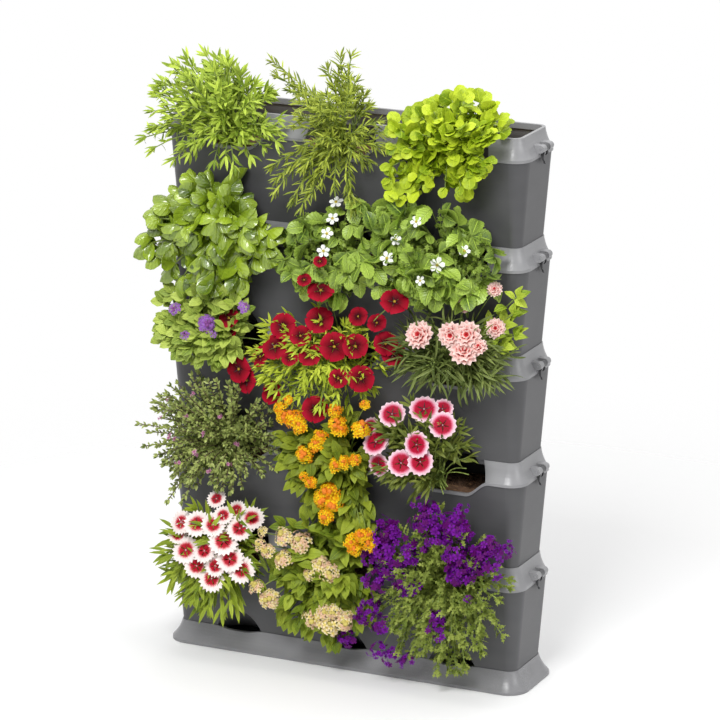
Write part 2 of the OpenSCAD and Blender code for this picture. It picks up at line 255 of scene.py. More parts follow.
for name, (spot, side, watts) in LAMPS.items():
    light = bpy.data.lights.new(name, "AREA")
    light.size, light.energy = side, watts
    lamp = bpy.data.objects.new(name, light)
    lamp.location = spot
    lamp.rotation_euler = (Vector(spot) - TARGET).to_track_quat("Z", "Y").to_euler()
    scene.collection.objects.link(lamp)

floor_plate = bmesh.new()
bmesh.ops.create_circle(floor_plate, cap_ends=True, radius=FLOOR_RADIUS, segments=64)
floor_mesh = bpy.data.meshes.new("floor")
floor_plate.to_mesh(floor_mesh)
floor_plate.free()
floor = bpy.data.objects.new("floor", floor_mesh)
floor.location.z = -FLOOR_DROP
scene.collection.objects.link(floor)
paper = Finish("pale_floor", roughness=0.9)
paper.shader.inputs["Base Color"].default_value = (0.95, 0.95, 0.95, 1)
distance = paper.node("VectorMath", {"operation": "LENGTH"}, paper.place())
clear = paper.tree.nodes.new("ShaderNodeBsdfTransparent")
fade = paper.tree.nodes.new("ShaderNodeMixShader")
for source, target in (
    (distance.over(FADE_RADIUS, FADE_SOFTNESS).socket, fade.inputs[0]),
    (paper.shader.outputs[0], fade.inputs[1]),
    (clear.outputs[0], fade.inputs[2]),
    (fade.outputs[0], paper.tree.nodes["Material Output"].inputs[0]),
):
    paper.tree.links.new(source, target)
floor_mesh.materials.append(paper.material)

# %% [markdown]
# ## Moulded plastic
# The tray, troughs, collars and clips are injection-moulded in anthracite plastic. Up close
# such a surface has a fine spark-eroded grain, faint flow marks along the wall, and slightly
# smoother patches where it has been handled. Noise on Object coordinates gives all three
# without a map, and keeps one scale over every piece. The collars and the tray are the same
# plastic as the troughs, and their lighter tints are painted light: the light from above
# that their upward faces catch.

# %% The plastic finishes
GRAIN_SCALE, FLOW_SCALE, PATCH_SCALE = 1400, 22, 9


def plastic(name, tint, roughness=0.42, grain=0.00005):
    finish = Finish(name, roughness, Specular_IOR_Level=0.5)
    place = finish.place()
    specks = finish.noise(place, GRAIN_SCALE, 1.0)
    flow = finish.noise(finish.stretched(place, 0.3, 1, 2.4), FLOW_SCALE, 3.0)
    patches = finish.noise(place, PATCH_SCALE, 2.0)
    tone = 0.55 * flow + 0.3 * patches + 0.15 * specks
    finish.set("Base Color", finish.blend(tone, shade(tint, 0.82), shade(tint, 1.2)))
    finish.set("Roughness", roughness - 0.09 + 0.12 * patches + 0.07 * specks)
    finish.bump(specks + 0.4 * flow, grain)
    return finish.material


def steel(name):
    finish = Finish(name, 0.3, Metallic=1.0)
    place = finish.place()
    lines = finish.noise(finish.stretched(place, 1, 0.03, 1), 2600, 1.0)
    finish.set("Base Color", finish.blend(lines, rgb(150, 150, 154), rgb(205, 205, 208)))
    finish.set("Roughness", 0.22 + 0.2 * lines)
    finish.bump(lines, 0.00002)
    return finish.material


FINISHES = {
    # The tray and collar tints are lighter than the pot tint only as painted light, for the light
    # their upward faces catch; all are one anthracite plastic.
    "base_tray": plastic("tray_plastic", rgb(128, 128, 130), 0.25),
    "pot": plastic("pot_plastic", rgb(77, 77, 79)),
    "collar": plastic("collar_plastic", rgb(142, 142, 144), 0.3),
    "clip_left": plastic("clip_plastic", rgb(74, 74, 76)),
    "clip_pins": steel("pin_steel"),
}
FINISHES["clip_right"] = FINISHES["clip_left"]


for node, piece in NODES.items():
    for start, material in FINISHES.items():
        if node.startswith(start):
            piece.data.materials.clear()
            piece.data.materials.append(material)
print("finishes:", sorted(m.name for m in set(FINISHES.values())))

# %% [markdown]
# ## Potting soil
# Moist potting soil is almost black, with lighter fibres and crumbs of several sizes. The
# CAD block has the right volume but a level top, so a crumbly skin is laid over it.

# %% The soil finish
def potting_soil():
    finish = Finish("potting_soil", 0.9)
    place = finish.place()
    crumbs = finish.noise(place, 260, 4.0)
    fibres = finish.noise(finish.stretched(place, 1, 3, 1), 120, 2.0)
    tone = finish.blend(crumbs, rgb(54, 38, 27), rgb(146, 110, 84))
    finish.set("Base Color", finish.blend(fibres.over(0.62, 0.04), tone, rgb(150, 116, 84)))
    finish.set("Roughness", 0.8 + 0.15 * crumbs)
    finish.bump(crumbs, 0.003)
    return finish.material


SOIL = potting_soil()
PITCH = 0.207
BED_CORNER, CORNER_SHARE = 0.032, 0.94
CRUST_COLUMNS, CRUST_ROWS, CRUMBS = 150, 30, 620
CRUMB_RADII = 0.0015, 0.0044
HEAP_HEIGHT, HEAP_WIDTH = 0.014, 0.055


def in_bed(low, high, across, back):
    """A place in a trough from shares of its width and depth, kept inside its round corners."""
    place = Vector(((high.x - low.x) * across, (high.y - low.y) * back))
    corner = Vector(((high.x - low.x) / 2 - BED_CORNER, (high.y - low.y) / 2 - BED_CORNER))
    past = Vector((abs(place.x) - corner.x, abs(place.y) - corner.y))
    if min(past) > 0 and past.length > BED_CORNER * CORNER_SHARE:
        past *= BED_CORNER * CORNER_SHARE / past.length
        place = Vector([math.copysign(c + p, at) for c, p, at in zip(corner, past, place)])
    return (low.x + high.x) / 2 + place.x, (low.y + high.y) / 2 + place.y


def heap(x, v):
    """How much higher the soil lies where it was pressed round a plant behind its opening."""
    nearest = min(abs(x - slot * PITCH) for slot in (-1, 0, 1))
    return HEAP_HEIGHT * math.exp(-(nearest / HEAP_WIDTH) ** 4) * min(1.0, max(0.0, 0.35 - v))


def soil_bed(k):
    """The soil of one trough: a copy of its block under a raked, crumbly top."""
    chance = np.random.default_rng(100 + k)
    low, high = (Vector(corner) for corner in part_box(f"soil_{k}"))
    bm = bmesh.new()
    bm.from_mesh(NODES[f"soil_{k}"].data)
    bmesh.ops.remove_doubles(bm, verts=bm.verts, dist=0.00002)
    crust = bmesh.ops.create_grid(
        bm, x_segments=CRUST_COLUMNS, y_segments=CRUST_ROWS, size=0.5)["verts"]
    phase = chance.uniform(0, math.tau, 6)
    for vert in crust:
        u, v = 2 * vert.co.x, 2 * vert.co.y
        x, y = in_bed(low, high, u * 0.495, v * 0.49)
        inside = min(1.0, (1 - max(abs(u), abs(v))) * 8)
        rolls = math.sin(31 * u + phase[0]) * math.sin(4 * v + phase[1])
        rolls += math.sin(67 * u + 5 * v + phase[2])
        rough = 0.004 + 0.0016 * rolls + chance.uniform(-0.0012, 0.0016) + heap(x, v)
        vert.co = (x, y, high.z - 0.001 + inside * rough)
    for _ in range(CRUMBS):
        radius = chance.uniform(*CRUMB_RADII)
        u, v = chance.uniform(-0.93, 0.93), chance.uniform(-0.86, 0.86)
        x, y = in_bed(low, high, u * 0.48, v * 0.47)
        spot = Vector((x, y, high.z + 0.003 + heap(x, v) + radius * 0.3))
        place = Matrix.Translation(spot) @ Matrix.Rotation(chance.uniform(0, math.tau), 4, "Z")
        crumb = bmesh.ops.create_icosphere(bm, subdivisions=1, radius=radius, matrix=place)["verts"]
        bmesh.ops.scale(bm, vec=(1.3, 0.9, 0.7), space=place.inverted(), verts=crumb)
    mesh = bpy.data.meshes.new(f"soil_bed_{k}")
    bm.to_mesh(mesh)
    bm.free()
    mesh.materials.append(SOIL)
    bed = bpy.data.objects.new(f"soil_bed_{k}", mesh)
    scene.collection.objects.link(bed)
    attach(bed, f"level_{k}")
    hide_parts(f"soil_{k}")
    return len(mesh.polygons)


for k in range(1, LEVELS + 1):
    print("soil bed", k, soil_bed(k), "faces")

# %% [markdown]
# ## The foliage kit
# Thousands of leaves are made by laying a few small shapes many times. A `Shape` is one leaf,
# petal or stalk, modelled once along +Y with its face up, one unit long. A `Bush` gathers
# the copies of one plant in a single mesh. Each copy is given one cell of an eight by eight
# chart in its UV map, so that a material can tell one leaf from the next and still draw
# veins along each.

# %% Shapes and bushes
CHART = 8
LEAF_CELLS, STALK_CELLS = range(0, 56), range(56, 64)
CELL_MARGIN = 0.05


class Shape:
    """A small mesh that is laid many times: its rest places and its map."""

    def __init__(self, name, bm, slot=0, cells=LEAF_CELLS):
        self.mesh = bpy.data.meshes.new(name)
        bm.to_mesh(self.mesh)
        bm.free()
        faces = self.mesh.polygons
        faces.foreach_set("material_index", [slot] * len(faces))
        faces.foreach_set("use_smooth", [True] * len(faces))
        self.rest = np.ones((len(self.mesh.vertices), 4))
        self.rest[:, :3] = [v.co for v in self.mesh.vertices]
        flat = np.empty(2 * len(self.mesh.loops))
        self.mesh.uv_layers["leaf"].data.foreach_get("uv", flat)
        self.map = flat.reshape(-1, 2) * (1 - 2 * CELL_MARGIN) + CELL_MARGIN
        self.cells = cells


class Bush:
    """One mesh that gathers laid shapes, and its finishes in the order of their slots."""

    def __init__(self, name, plant, level, finishes, seed):
        self.name, self.plant, self.body = name, plant, f"level_{level}"
        self.finishes = finishes
        self.bm = bmesh.new()
        self.chance = np.random.default_rng(seed)

    def lay(self, shape, place):
        corners = shape.rest @ np.asarray(place).T
        shape.mesh.vertices.foreach_set("co", corners[:, :3].ravel())
        cell = int(self.chance.choice(shape.cells))
        chart = (shape.map + (cell % CHART, cell // CHART)) / CHART
        shape.mesh.uv_layers["leaf"].data.foreach_set("uv", chart.ravel())
        self.bm.from_mesh(shape.mesh, face_normals=False)

    def finish(self, replaced=()):
        mesh = bpy.data.meshes.new(self.name)
        self.bm.to_mesh(mesh)
        self.bm.free()
        for material in self.finishes:
            mesh.materials.append(material)
        chart = np.empty(2 * len(mesh.loops))
        mesh.uv_layers["leaf"].data.foreach_get("uv", chart)
        mesh.uv_layers.new(name="OFBake").data.foreach_set("uv", chart)
        piece = bpy.data.objects.new(self.name, mesh)
        scene.collection.objects.link(piece)
        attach(piece, self.body)
        if replaced:
            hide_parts(*replaced)
        front = min(corner[1] for corner in piece.bound_box)
        print(f"{self.name}: {len(mesh.polygons)} faces, front at y {front:.4f}")

print("chart cells:", CHART * CHART)

# %% [markdown]
# ## Leaves, petals and stalks
# A leaf could be a flat picture with a cut-out, but its edge would show no fold or shadow.
# Here it is a narrow grid that is shaped by its outline, folded along its midrib and bent
# down towards its tip. Outlines are lists of (share of the length, half width). Teeth are
# made by swelling every other row.

# %% The blade maker
OVATE = [(0, 0.02), (0.12, 0.19), (0.35, 0.30), (0.6, 0.25), (0.85, 0.11), (1, 0.0)]
NEEDLE = [(0, 0.02), (0.3, 0.045), (0.7, 0.045), (1, 0.0)]
PETAL = [(0, 0.05), (0.3, 0.18), (0.65, 0.36), (0.88, 0.36), (1, 0.2)]


def map_leaf(bm, place):
    """Gives each corner its place in the shape's own map."""
    chart = bm.loops.layers.uv.new("leaf")
    for face in bm.faces:
        for loop in face.loops:
            loop[chart].uv = place(loop.vert.co)


def swell(number, teeth):
    """Every other row or column stands out by half a tooth, and the others stand back."""
    return teeth * (0.5 if number % 2 else -0.5)


def blade(outline, along=6, across=2, fold=0.2, droop=0.25, cup=0.0, teeth=0.0, wave=0.0,
          fan=0.0):
    """A leaf or petal as a bmesh: one unit long on +Y, its face up, its base at the origin.

    With a fan angle the outline gives shares of it, the edge is round, and the teeth are
    a fringe."""
    bm = bmesh.new()
    bmesh.ops.create_grid(bm, x_segments=across, y_segments=along, size=0.5)
    map_leaf(bm, lambda co: (co.x + 0.5, co.y + 0.5))
    stations, widths = zip(*outline)
    for vert in bm.verts:
        side, along_it = 2 * vert.co.x, vert.co.y + 0.5
        row = round(along_it * along)
        half = np.interp(along_it, stations, widths)
        tooth = 1 + swell(row, teeth) * abs(side)
        vert.co.x = side * half * tooth
        bend = droop * along_it
        vert.co.y = math.sin(bend) / droop if droop else along_it
        vert.co.z = (math.cos(bend) - 1) / droop if droop else 0
        vert.co.z += abs(side) * half * fold + cup * side * side * half
        vert.co.z += wave * half * math.sin(9 * along_it + 2 * side) * abs(side)
        if fan:
            column = round((side + 1) / 2 * across)
            notch = swell(column, teeth) if row == along else 0.0
            far, turn = vert.co.y * (1 + notch), side * half * fan
            vert.co.x, vert.co.y = far * math.sin(turn), far * math.cos(turn)
    bmesh.ops.remove_doubles(bm, verts=bm.verts, dist=0.002)
    return bm


print("an oval leaf has", len(blade(OVATE).faces), "faces")

# %% [markdown]
# ## Flowers, eyes and stalks
# A real petal is a leaf in form, so a flower is one blade spun round its middle. Its eye is
# a low dome, and a stalk is a row of short tapered sticks, which is lighter than a bevelled
# curve and can be laid with the same copying as the leaves.

# %% Flowers, eyes and stalks
def shapes(name, outline, **form):
    """Leaves that differ in one part of their form, the one that has several values."""
    part = next(key for key, value in form.items() if isinstance(value, tuple))
    return [Shape(name, blade(outline, **{**form, part: value})) for value in form[part]]


def flower(outline, petals, rise, **form):
    """One petal spun round +Z, each petal lifted from its middle by the same slope."""
    bm = blade(outline, **form)
    bmesh.ops.rotate(bm, verts=bm.verts, matrix=Matrix.Rotation(rise, 3, "X"))
    turn = math.tau * (petals - 1) / petals
    bmesh.ops.spin(bm, geom=bm.verts[:] + bm.edges[:] + bm.faces[:], cent=(0, 0, 0),
                   axis=(0, 0, 1), angle=turn, steps=petals - 1, use_duplicate=True)
    return bm


def knob(rise, segments, rings):
    """A low dome, one unit across its radius, with its map running out from its top."""
    bm = bmesh.new()
    bmesh.ops.create_uvsphere(bm, u_segments=segments, v_segments=rings, radius=1)
    map_leaf(bm, lambda co: (0.5 + co.x / 2, 0.5 + co.y / 2))
    bmesh.ops.scale(bm, vec=(1, 1, rise), verts=bm.verts)
    return bm


def stick():
    """A stalk segment from z 0 to 1, one unit in radius."""
    bm = bmesh.new()
    bmesh.ops.create_cone(bm, cap_ends=True, segments=5, radius1=1, radius2=0.85, depth=1)
    bmesh.ops.translate(bm, verts=bm.verts, vec=(0, 0, 0.5))
    map_leaf(bm, lambda co: (0.5 + co.x / 2, co.z))
    return bm


STALK_SLOT = EYE_SLOT = 1
STALK = Shape("stalk", stick(), STALK_SLOT, STALK_CELLS)
print("stalk faces:", len(STALK.mesh.polygons))

# %% [markdown]
# ## Where leaves go
# A shoot is a curve that starts in the soil, leans out over the dipped rim, and ends at a
# place on the plant's mound. Leaves stand along the outer part of the shoot, turned round
# it by the golden angle, with their faces to the light as living leaves hold them. No leaf
# grows into the planter, or further out than the plant's own room in front of it. One corner
# of the second level's right opening is kept bare, because its soil shows in the photograph.

# %% Where leaves may be
FRONT_Y, SIDE_X = -0.079, 0.352
CLEARANCE = 0.004  # of leaves over the floor and the top collar
OUTER_LOW = Vector(CAD_BOX[0]) - Vector((0.024, 0.013, 0))
OUTER_HIGH = Vector(CAD_BOX[1]) + Vector((0.024, 0, 0.030))
BARE_LOW, BARE_HIGH = Vector((0.196, 0, 0.343)), Vector((0.300, 0, 0.418))


def rim(level):
    """The height of a level's rim, taken from its trough."""
    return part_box(f"pot_{level}")[1][2]


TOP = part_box(f"collar_{LEVELS}")[1][2]


def held_clear(point):
    """True where a leaf may be: before, over or beside the planter, and not too far out."""
    if point[1] < OUTER_LOW.y or not CLEARANCE <= point[2] <= OUTER_HIGH.z:
        return False
    if not OUTER_LOW.x < point[0] < OUTER_HIGH.x:
        return False
    if BARE_LOW.x < point[0] < BARE_HIGH.x and BARE_LOW.z < point[2] < BARE_HIGH.z:
        return False
    return point[1] < FRONT_Y or point[2] > TOP + CLEARANCE or abs(point[0]) > SIDE_X


print("rims:", [round(rim(k), 3) for k in range(1, LEVELS + 1)], "top", round(TOP, 3))

# %% [markdown]
# ## Places and stems
# Laying a copy needs a matrix whose columns are the copy's own axes and its base. A leaf is
# aimed along its way with its face to the light, and a flower stands along its stalk. A stem
# is a bow of three points, because a stem that grows out of a box and up needs no more.

# %% Places and stems
LIGHT = Vector((0.25, -0.62, 0.74)).normalized()
STALK_RADIUS, STALK_OVERLAP = 0.0011, 1.04


def turned(way, angle, axis):
    made = way.copy()
    made.rotate(Matrix.Rotation(angle, 3, axis))
    return made


def placed(base, *axes):
    """The place of a shape from its base and its three axes, each with its size."""
    columns = [[part * size for part in axis] for axis, size in axes]
    return Matrix([*zip(*columns, base), (0, 0, 0, 1)])


def frame_at(base, ahead, facing, size):
    """The place of a shape whose length runs ahead and whose face looks to facing."""
    y = ahead.normalized()
    x = y.cross(facing)
    x = x.normalized() if x.length > 1e-6 else y.orthogonal().normalized()
    return placed(base, (x, size), (y, size), (x.cross(y), size))


def upright_at(base, axis, across, height, turn=0.0):
    """The place of a shape that stands along an axis, with its own width and height."""
    z = axis.normalized()
    x = turned(z.orthogonal().normalized(), turn, z)
    return placed(base, (x, across), (z.cross(x), across), (z, height))


def bow(start, over, end, steps=8):
    """Points along a stem that starts towards one place and ends at another."""
    return [start * (1 - t) ** 2 + over * 2 * t * (1 - t) + end * t ** 2
            for t in (i / steps for i in range(steps + 1))]


def stem(bush, points, radius=STALK_RADIUS, shape=STALK):
    for low, high in zip(points, points[1:]):
        ahead = high - low
        bush.lay(shape, upright_at(low, ahead, radius, ahead.length * STALK_OVERLAP))


def jitter(chance, size):
    return Vector(chance.normal(0, size, 3))


print("a bow from the soil:", len(bow(Vector(), LIGHT, LIGHT * 2)), "points")

# %% [markdown]
# ## Dressing a stem
# Leaves leave a stem one after another, each turned by the golden angle, so that none
# shades the one below it. Their size, way and face vary at random with a fixed seed, since
# an even spray looks like plastic. Leaves that would stand inside the planter are left out.

# %% Dressing a stem
GOLDEN_ANGLE = math.radians(137.5)
TIP_SHARE = 0.27  # of a leaf's length: how far behind the outer limit it ends


def lay_leaf(bush, leaf, base, way, facing, length):
    """Lays one leaf, bent back from the outer limit where it would pass it."""
    limit = OUTER_LOW.y + TIP_SHARE * length
    if base.y + way.normalized().y * length < limit:
        way = Vector((way.x, way.y * 0.2, way.z))
    tip = base + way.normalized() * length
    if min(base.y, tip.y) < limit:
        return 0
    if held_clear(base) and held_clear(tip) and held_clear((base + tip) / 2):
        bush.lay(leaf, frame_at(base, way, facing, length))
        return 1
    return 0


def clothe(bush, points, leaves, spacing, size, spread=0.9, first=0.35, whorl=1, loose=0.25,
           shrink=0.3, crown=0, sag=0.0, vary=0.25, to_light=1.0):
    """Lays leaves along the outer part of a stem, and a crown of young ones at its tip.

    The spread is a leaf's angle to the stem, first is where they begin, whorl how many
    stand together, and loose, vary and shrink change their ways and sizes."""
    chance = bush.chance
    lengths = [(b - a).length for a, b in zip(points, points[1:])]
    total, walked, turn, laid = sum(lengths), 0.0, chance.uniform(0, math.tau), 0
    for low, high, length in zip(points, points[1:], lengths):
        ahead = (high - low) / length
        side = ahead.orthogonal().normalized()
        here = -walked % spacing
        while here < length:
            share = (walked + here) / total
            if share > first:
                base = low + ahead * here
                for number in range(whorl):
                    out_way = turned(side, turn + math.tau * number / whorl, ahead)
                    way = ahead * math.cos(spread) + out_way * math.sin(spread)
                    way += jitter(chance, loose)
                    way.z -= sag
                    length_now = size * chance.uniform(0.95 - vary, 0.95 + vary)
                    length_now *= 1 - shrink * share
                    facing = LIGHT * to_light + jitter(chance, loose * 1.3) + out_way * 0.4
                    shape = leaves[int(chance.integers(len(leaves)))]
                    laid += lay_leaf(bush, shape, base, way, facing, length_now)
                turn += GOLDEN_ANGLE
            here += spacing
        walked += length
    end, ahead = points[-1], (points[-1] - points[-2]).normalized()
    for number in range(crown):
        out_way = turned(ahead.orthogonal().normalized(), number * GOLDEN_ANGLE, ahead)
        way = ahead * 0.8 + out_way * (0.35 + 0.5 * number / crown) - Vector((0, 0, sag * 0.6))
        length_now = size * chance.uniform(0.55, 0.85)
        facing = LIGHT + out_way * 0.4
        laid += lay_leaf(bush, leaves[number % len(leaves)], end, way, facing, length_now)
    return laid


print("leaves end before y", round(OUTER_LOW.y, 4))

# %% [markdown]
# ## Mounds
# From the front a well-grown plant is a rounded mound: deep in its middle, shallow at its
# edge. The mound gives the shoots' ends, and so the plant keeps to its block in the CAD
# model. Shoots start at the root, which is in the soil behind the opening.

# %% Mounds
ROOT_Y, ROOT_SINK = -0.050, 0.030
OVER_Y, OVER_RISE = -0.098, 0.022  # where a stem bends over the dipped rim
MOUTH_Y, MOUTH_REACH = -0.046, 0.042  # the planted strip of the open mouth


class Mound:
    """The rounded front that a plant fills, from its CAD block's table, in millimetres."""

    def __init__(self, level, slot, lean, half, rise, drop, reach, root_lean=0):
        self.level, self.root_x = level, slot * PITCH + root_lean * MM
        self.x = slot * PITCH + lean * MM
        self.half, self.reach = half * MM, reach * MM
        self.z = rim(level) + (rise - drop) / 2 * MM
        self.tall = (rise + drop) / 2 * MM
        self.rise = rise * MM

    def tip(self, chance, clumps=0):
        """A random place on the mound: evenly spread as the camera sees it, or in clumps."""
        radius = chance.uniform(0, 1) ** 0.5
        angle = chance.uniform(0, math.tau)
        share = 1.0
        if clumps:
            number = int(chance.integers(clumps))
            middle = math.sqrt((number + 0.6) / clumps)
            radius = min(1.0, abs(middle + chance.normal(0, 0.07)))
            angle = number * GOLDEN_ANGLE + chance.normal(0, 0.1) / max(radius, 0.3)
            share = 0.62 + 0.38 * (number * 0.618 % 1)
        depth = 0.4 + 0.6 * math.sqrt(max(0.0, 1 - radius ** 2.9))
        depth -= chance.uniform(0, 0.4) * radius
        return Vector((
            self.x + self.half * radius * math.cos(angle),
            FRONT_Y - self.reach * depth * share,
            self.z + self.tall * radius * math.sin(angle),
        ))

    def crown_tip(self, chance):
        """A random place over the open mouth of the top collar."""
        radius, angle = chance.uniform(0, 1) ** 0.5, chance.uniform(0, math.tau)
        height = (self.rise - 0.074) * math.sqrt(1 - radius ** 2) * chance.uniform(0.5, 1.0)
        return Vector((
            self.x + self.half * 0.85 * radius * math.cos(angle),
            MOUTH_Y + MOUTH_REACH * radius * math.sin(angle),
            TOP + 0.008 + height,
        ))

    def root(self, chance):
        return Vector((
            self.root_x + chance.uniform(-0.018, 0.018),
            ROOT_Y + chance.uniform(-0.008, 0.004),
            rim(self.level) - ROOT_SINK,
        ))

    def shoot(self, chance, end, lift=0.3):
        """A stem from the soil, over the dipped rim or out of the open mouth, to its end."""
        start = self.root(chance)
        if end.y > FRONT_Y:
            return bow(start, Vector((start.x, end.y * 0.7 - 0.014, TOP)), end)
        over = Vector((
            self.root_x + 0.35 * (end.x - self.root_x),
            min(OVER_Y, (end.y + ROOT_Y) / 2),
            rim(self.level) + OVER_RISE + lift * max(0.0, end.z - rim(self.level)),
        ))
        return bow(start, over, end)


def outwards(mound, place):
    """The way that a flower or leaf at this place on the mound looks."""
    way = Vector((
        (place.x - mound.x) / mound.half * 0.55,
        -0.8,
        (place.z - mound.z) / mound.tall * 0.45,
    ))
    return (way.normalized() + LIGHT).normalized()

print("roots lie", ROOT_SINK, "m below the rims")

# %% [markdown]
# ## Leaf and petal finishes
# Every leaf reads its own cell of the chart. White noise on the cell's number makes one
# leaf yellower or darker than the next. Inside the cell, the distance from the middle line
# draws the midrib, and a slanted saw draws the side veins. Petals are painted along their
# length, from the throat to the edge. Tints are written as screen colours, 0 to 255.

# %% The chart, leaves, stalks and petals
def chart_of(finish):
    """A leaf's own across and along, and a random number for its cell."""
    scaled = finish.node("VectorMath", {"operation": "SCALE"}, finish.leaf_map(), float(CHART))
    inside = finish.node("VectorMath", {"operation": "FRACTION"}, scaled)
    cell = finish.node("VectorMath", {"operation": "FLOOR"}, scaled)
    chance = finish.node("TexWhiteNoise", {"noise_dimensions": "2D"}, cell)
    across = finish.node("SeparateXYZ", {}, inside, output=0)
    along = finish.node("SeparateXYZ", {}, inside, output=1)
    return across, along, chance


def leaf_finish(name, dark, light, rib=0.35, veins=9, roughness=0.42, relief=0.0006, edge=0.0,
                shine=0.25):
    """A leaf's tints from its darkest to its lightest, its ribs and how far they stand out."""
    dark, light = rgb(*dark), rgb(*light)
    finish = Finish(name, roughness, Specular_IOR_Level=shine)
    across, along, chance = chart_of(finish)
    off_middle = (across - 0.5).absolute()
    midrib = 1 - off_middle.over(0.035, 0.02)
    saw = ((along - 0.7 * off_middle) * veins).fraction()
    side_veins = 1 - (saw - 0.5).absolute().over(0.1, 0.08)
    blotch = finish.noise(finish.leaf_map(), 60, 2.0)
    body = finish.blend(0.85 * chance + 0.5 * blotch - 0.18, dark, light)
    rim_share = 0.55 * off_middle.over(0.3, 0.2) * (0.4 + edge)
    body = finish.blend(rim_share, body, shade(light, 1.2))
    lines = rib * midrib + 0.3 * rib * side_veins
    finish.set("Base Color", finish.blend(lines, body, shade(light, 1.45)))
    finish.set("Roughness", roughness + 0.12 * blotch)
    finish.bump(midrib * 0.8 + side_veins * 0.4, relief)
    return finish.material


def stalk_finish(name, low, high):
    finish = Finish(name, 0.5)
    chance = chart_of(finish)[2]
    fibres = finish.noise(finish.leaf_map(), 160, 2.0)
    finish.set("Base Color", finish.blend(0.6 * chance + 0.4 * fibres, rgb(*low), rgb(*high)))
    finish.bump(fibres, 0.0002)
    return finish.material


def petal_finish(name, *stops, change=0.35, streaks=0.25, roughness=0.5, ragged=0.12,
                 other=None, streak=None):
    """Stops are a share of the petal's length and its tint there, from its base to its edge.

    The other tint is what a third of the flowers lean towards, and streaks run along a
    petal."""
    stops = [(share, rgb(*tint)) for share, *tint in stops]
    finish = Finish(name, roughness, Specular_IOR_Level=0.15)
    across, along, chance = chart_of(finish)
    stretched = finish.node("CombineXYZ", {}, across * 26, along * 2.5, chance * 40)
    fine = finish.noise(stretched, 1.0, 2.0)
    place = along + ragged * (fine - 0.5)
    body = finish.ramp(place, *stops)
    body = finish.blend(change * chance, body, finish.ramp(place * 0.86, *stops))
    if other:
        body = finish.blend(0.75 * chance.over(0.64, 0.06), body, rgb(*other))
    streak = rgb(*streak) if streak else shade(stops[-1][1], 0.62)
    finish.set("Base Color", finish.blend(streaks * fine.over(0.5, 0.1), body, streak))
    finish.bump(fine, 0.0004)
    return finish.material


def eye_finish(name, low, high):
    finish = Finish(name, 0.6)
    grains = finish.noise(finish.leaf_map(), 260, 2.0)
    finish.set("Base Color", finish.blend(grains, rgb(*low), rgb(*high)))
    finish.bump(grains, 0.0006)
    return finish.material


GREEN_STALK = stalk_finish("green_stalks", (106, 128, 52), (164, 182, 88))
BROWN_STALK = stalk_finish("woody_stalks", (70, 58, 40), (116, 104, 66))
print("stalk finishes ready")

# %% [markdown]
# ## The plants, from the top down
# Each plant is a foliage piece, which stands for its CAD block, and where it blooms a
# blossom piece. `MOUNDS` repeats the table of the CAD source: level, slot, lean, half width,
# rise, drop and reach, in millimetres. Ten plants also have a few long shoots that give
# them their own outline, and those are listed one by one.

# %% The mounds
MOUNDS = {
    "lance_herb": Mound(5, -1, -24, 134, 142, 60, 64),
    "needle_herb": Mound(5, 0, -6, 74, 160, 96, 64),
    "round_leaf_herb": Mound(5, 1, 0, 116, 122, 72, 64),
    "basil": Mound(4, -1, -28, 128, 115, 98, 72),
    "strawberry_middle": Mound(4, 0, -8, 80, 78, 82, 64),
    "strawberry_right": Mound(4, 1, -10, 110, 98, 60, 64),
    "lilac_bush": Mound(3, -1, -43, 86, 78, 32, 56),
    "red_trumpets": Mound(3, 0, -30, 118, 92, 90, 72),
    "salmon_pinks": Mound(3, 1, 17, 114, 115, 28, 64),
    "fine_leaf_bush": Mound(2, -1, -23, 130, 141, 78, 68),
    "yellow_clusters": Mound(2, 0, -8, 76, 86, 98, 68),
    "crimson_eyes": Mound(2, 1, -35, 92, 145, 32, 64, root_lean=-32),
    "red_eyes": Mound(1, -1, -19, 96, 95, 108, 68),
    "cream_clusters": Mound(1, 0, -26, 86, 74, 138, 68),
    "violet_clusters": Mound(1, 1, 1, 130, 138, 149, 75),
}

print("plants:", len(MOUNDS))

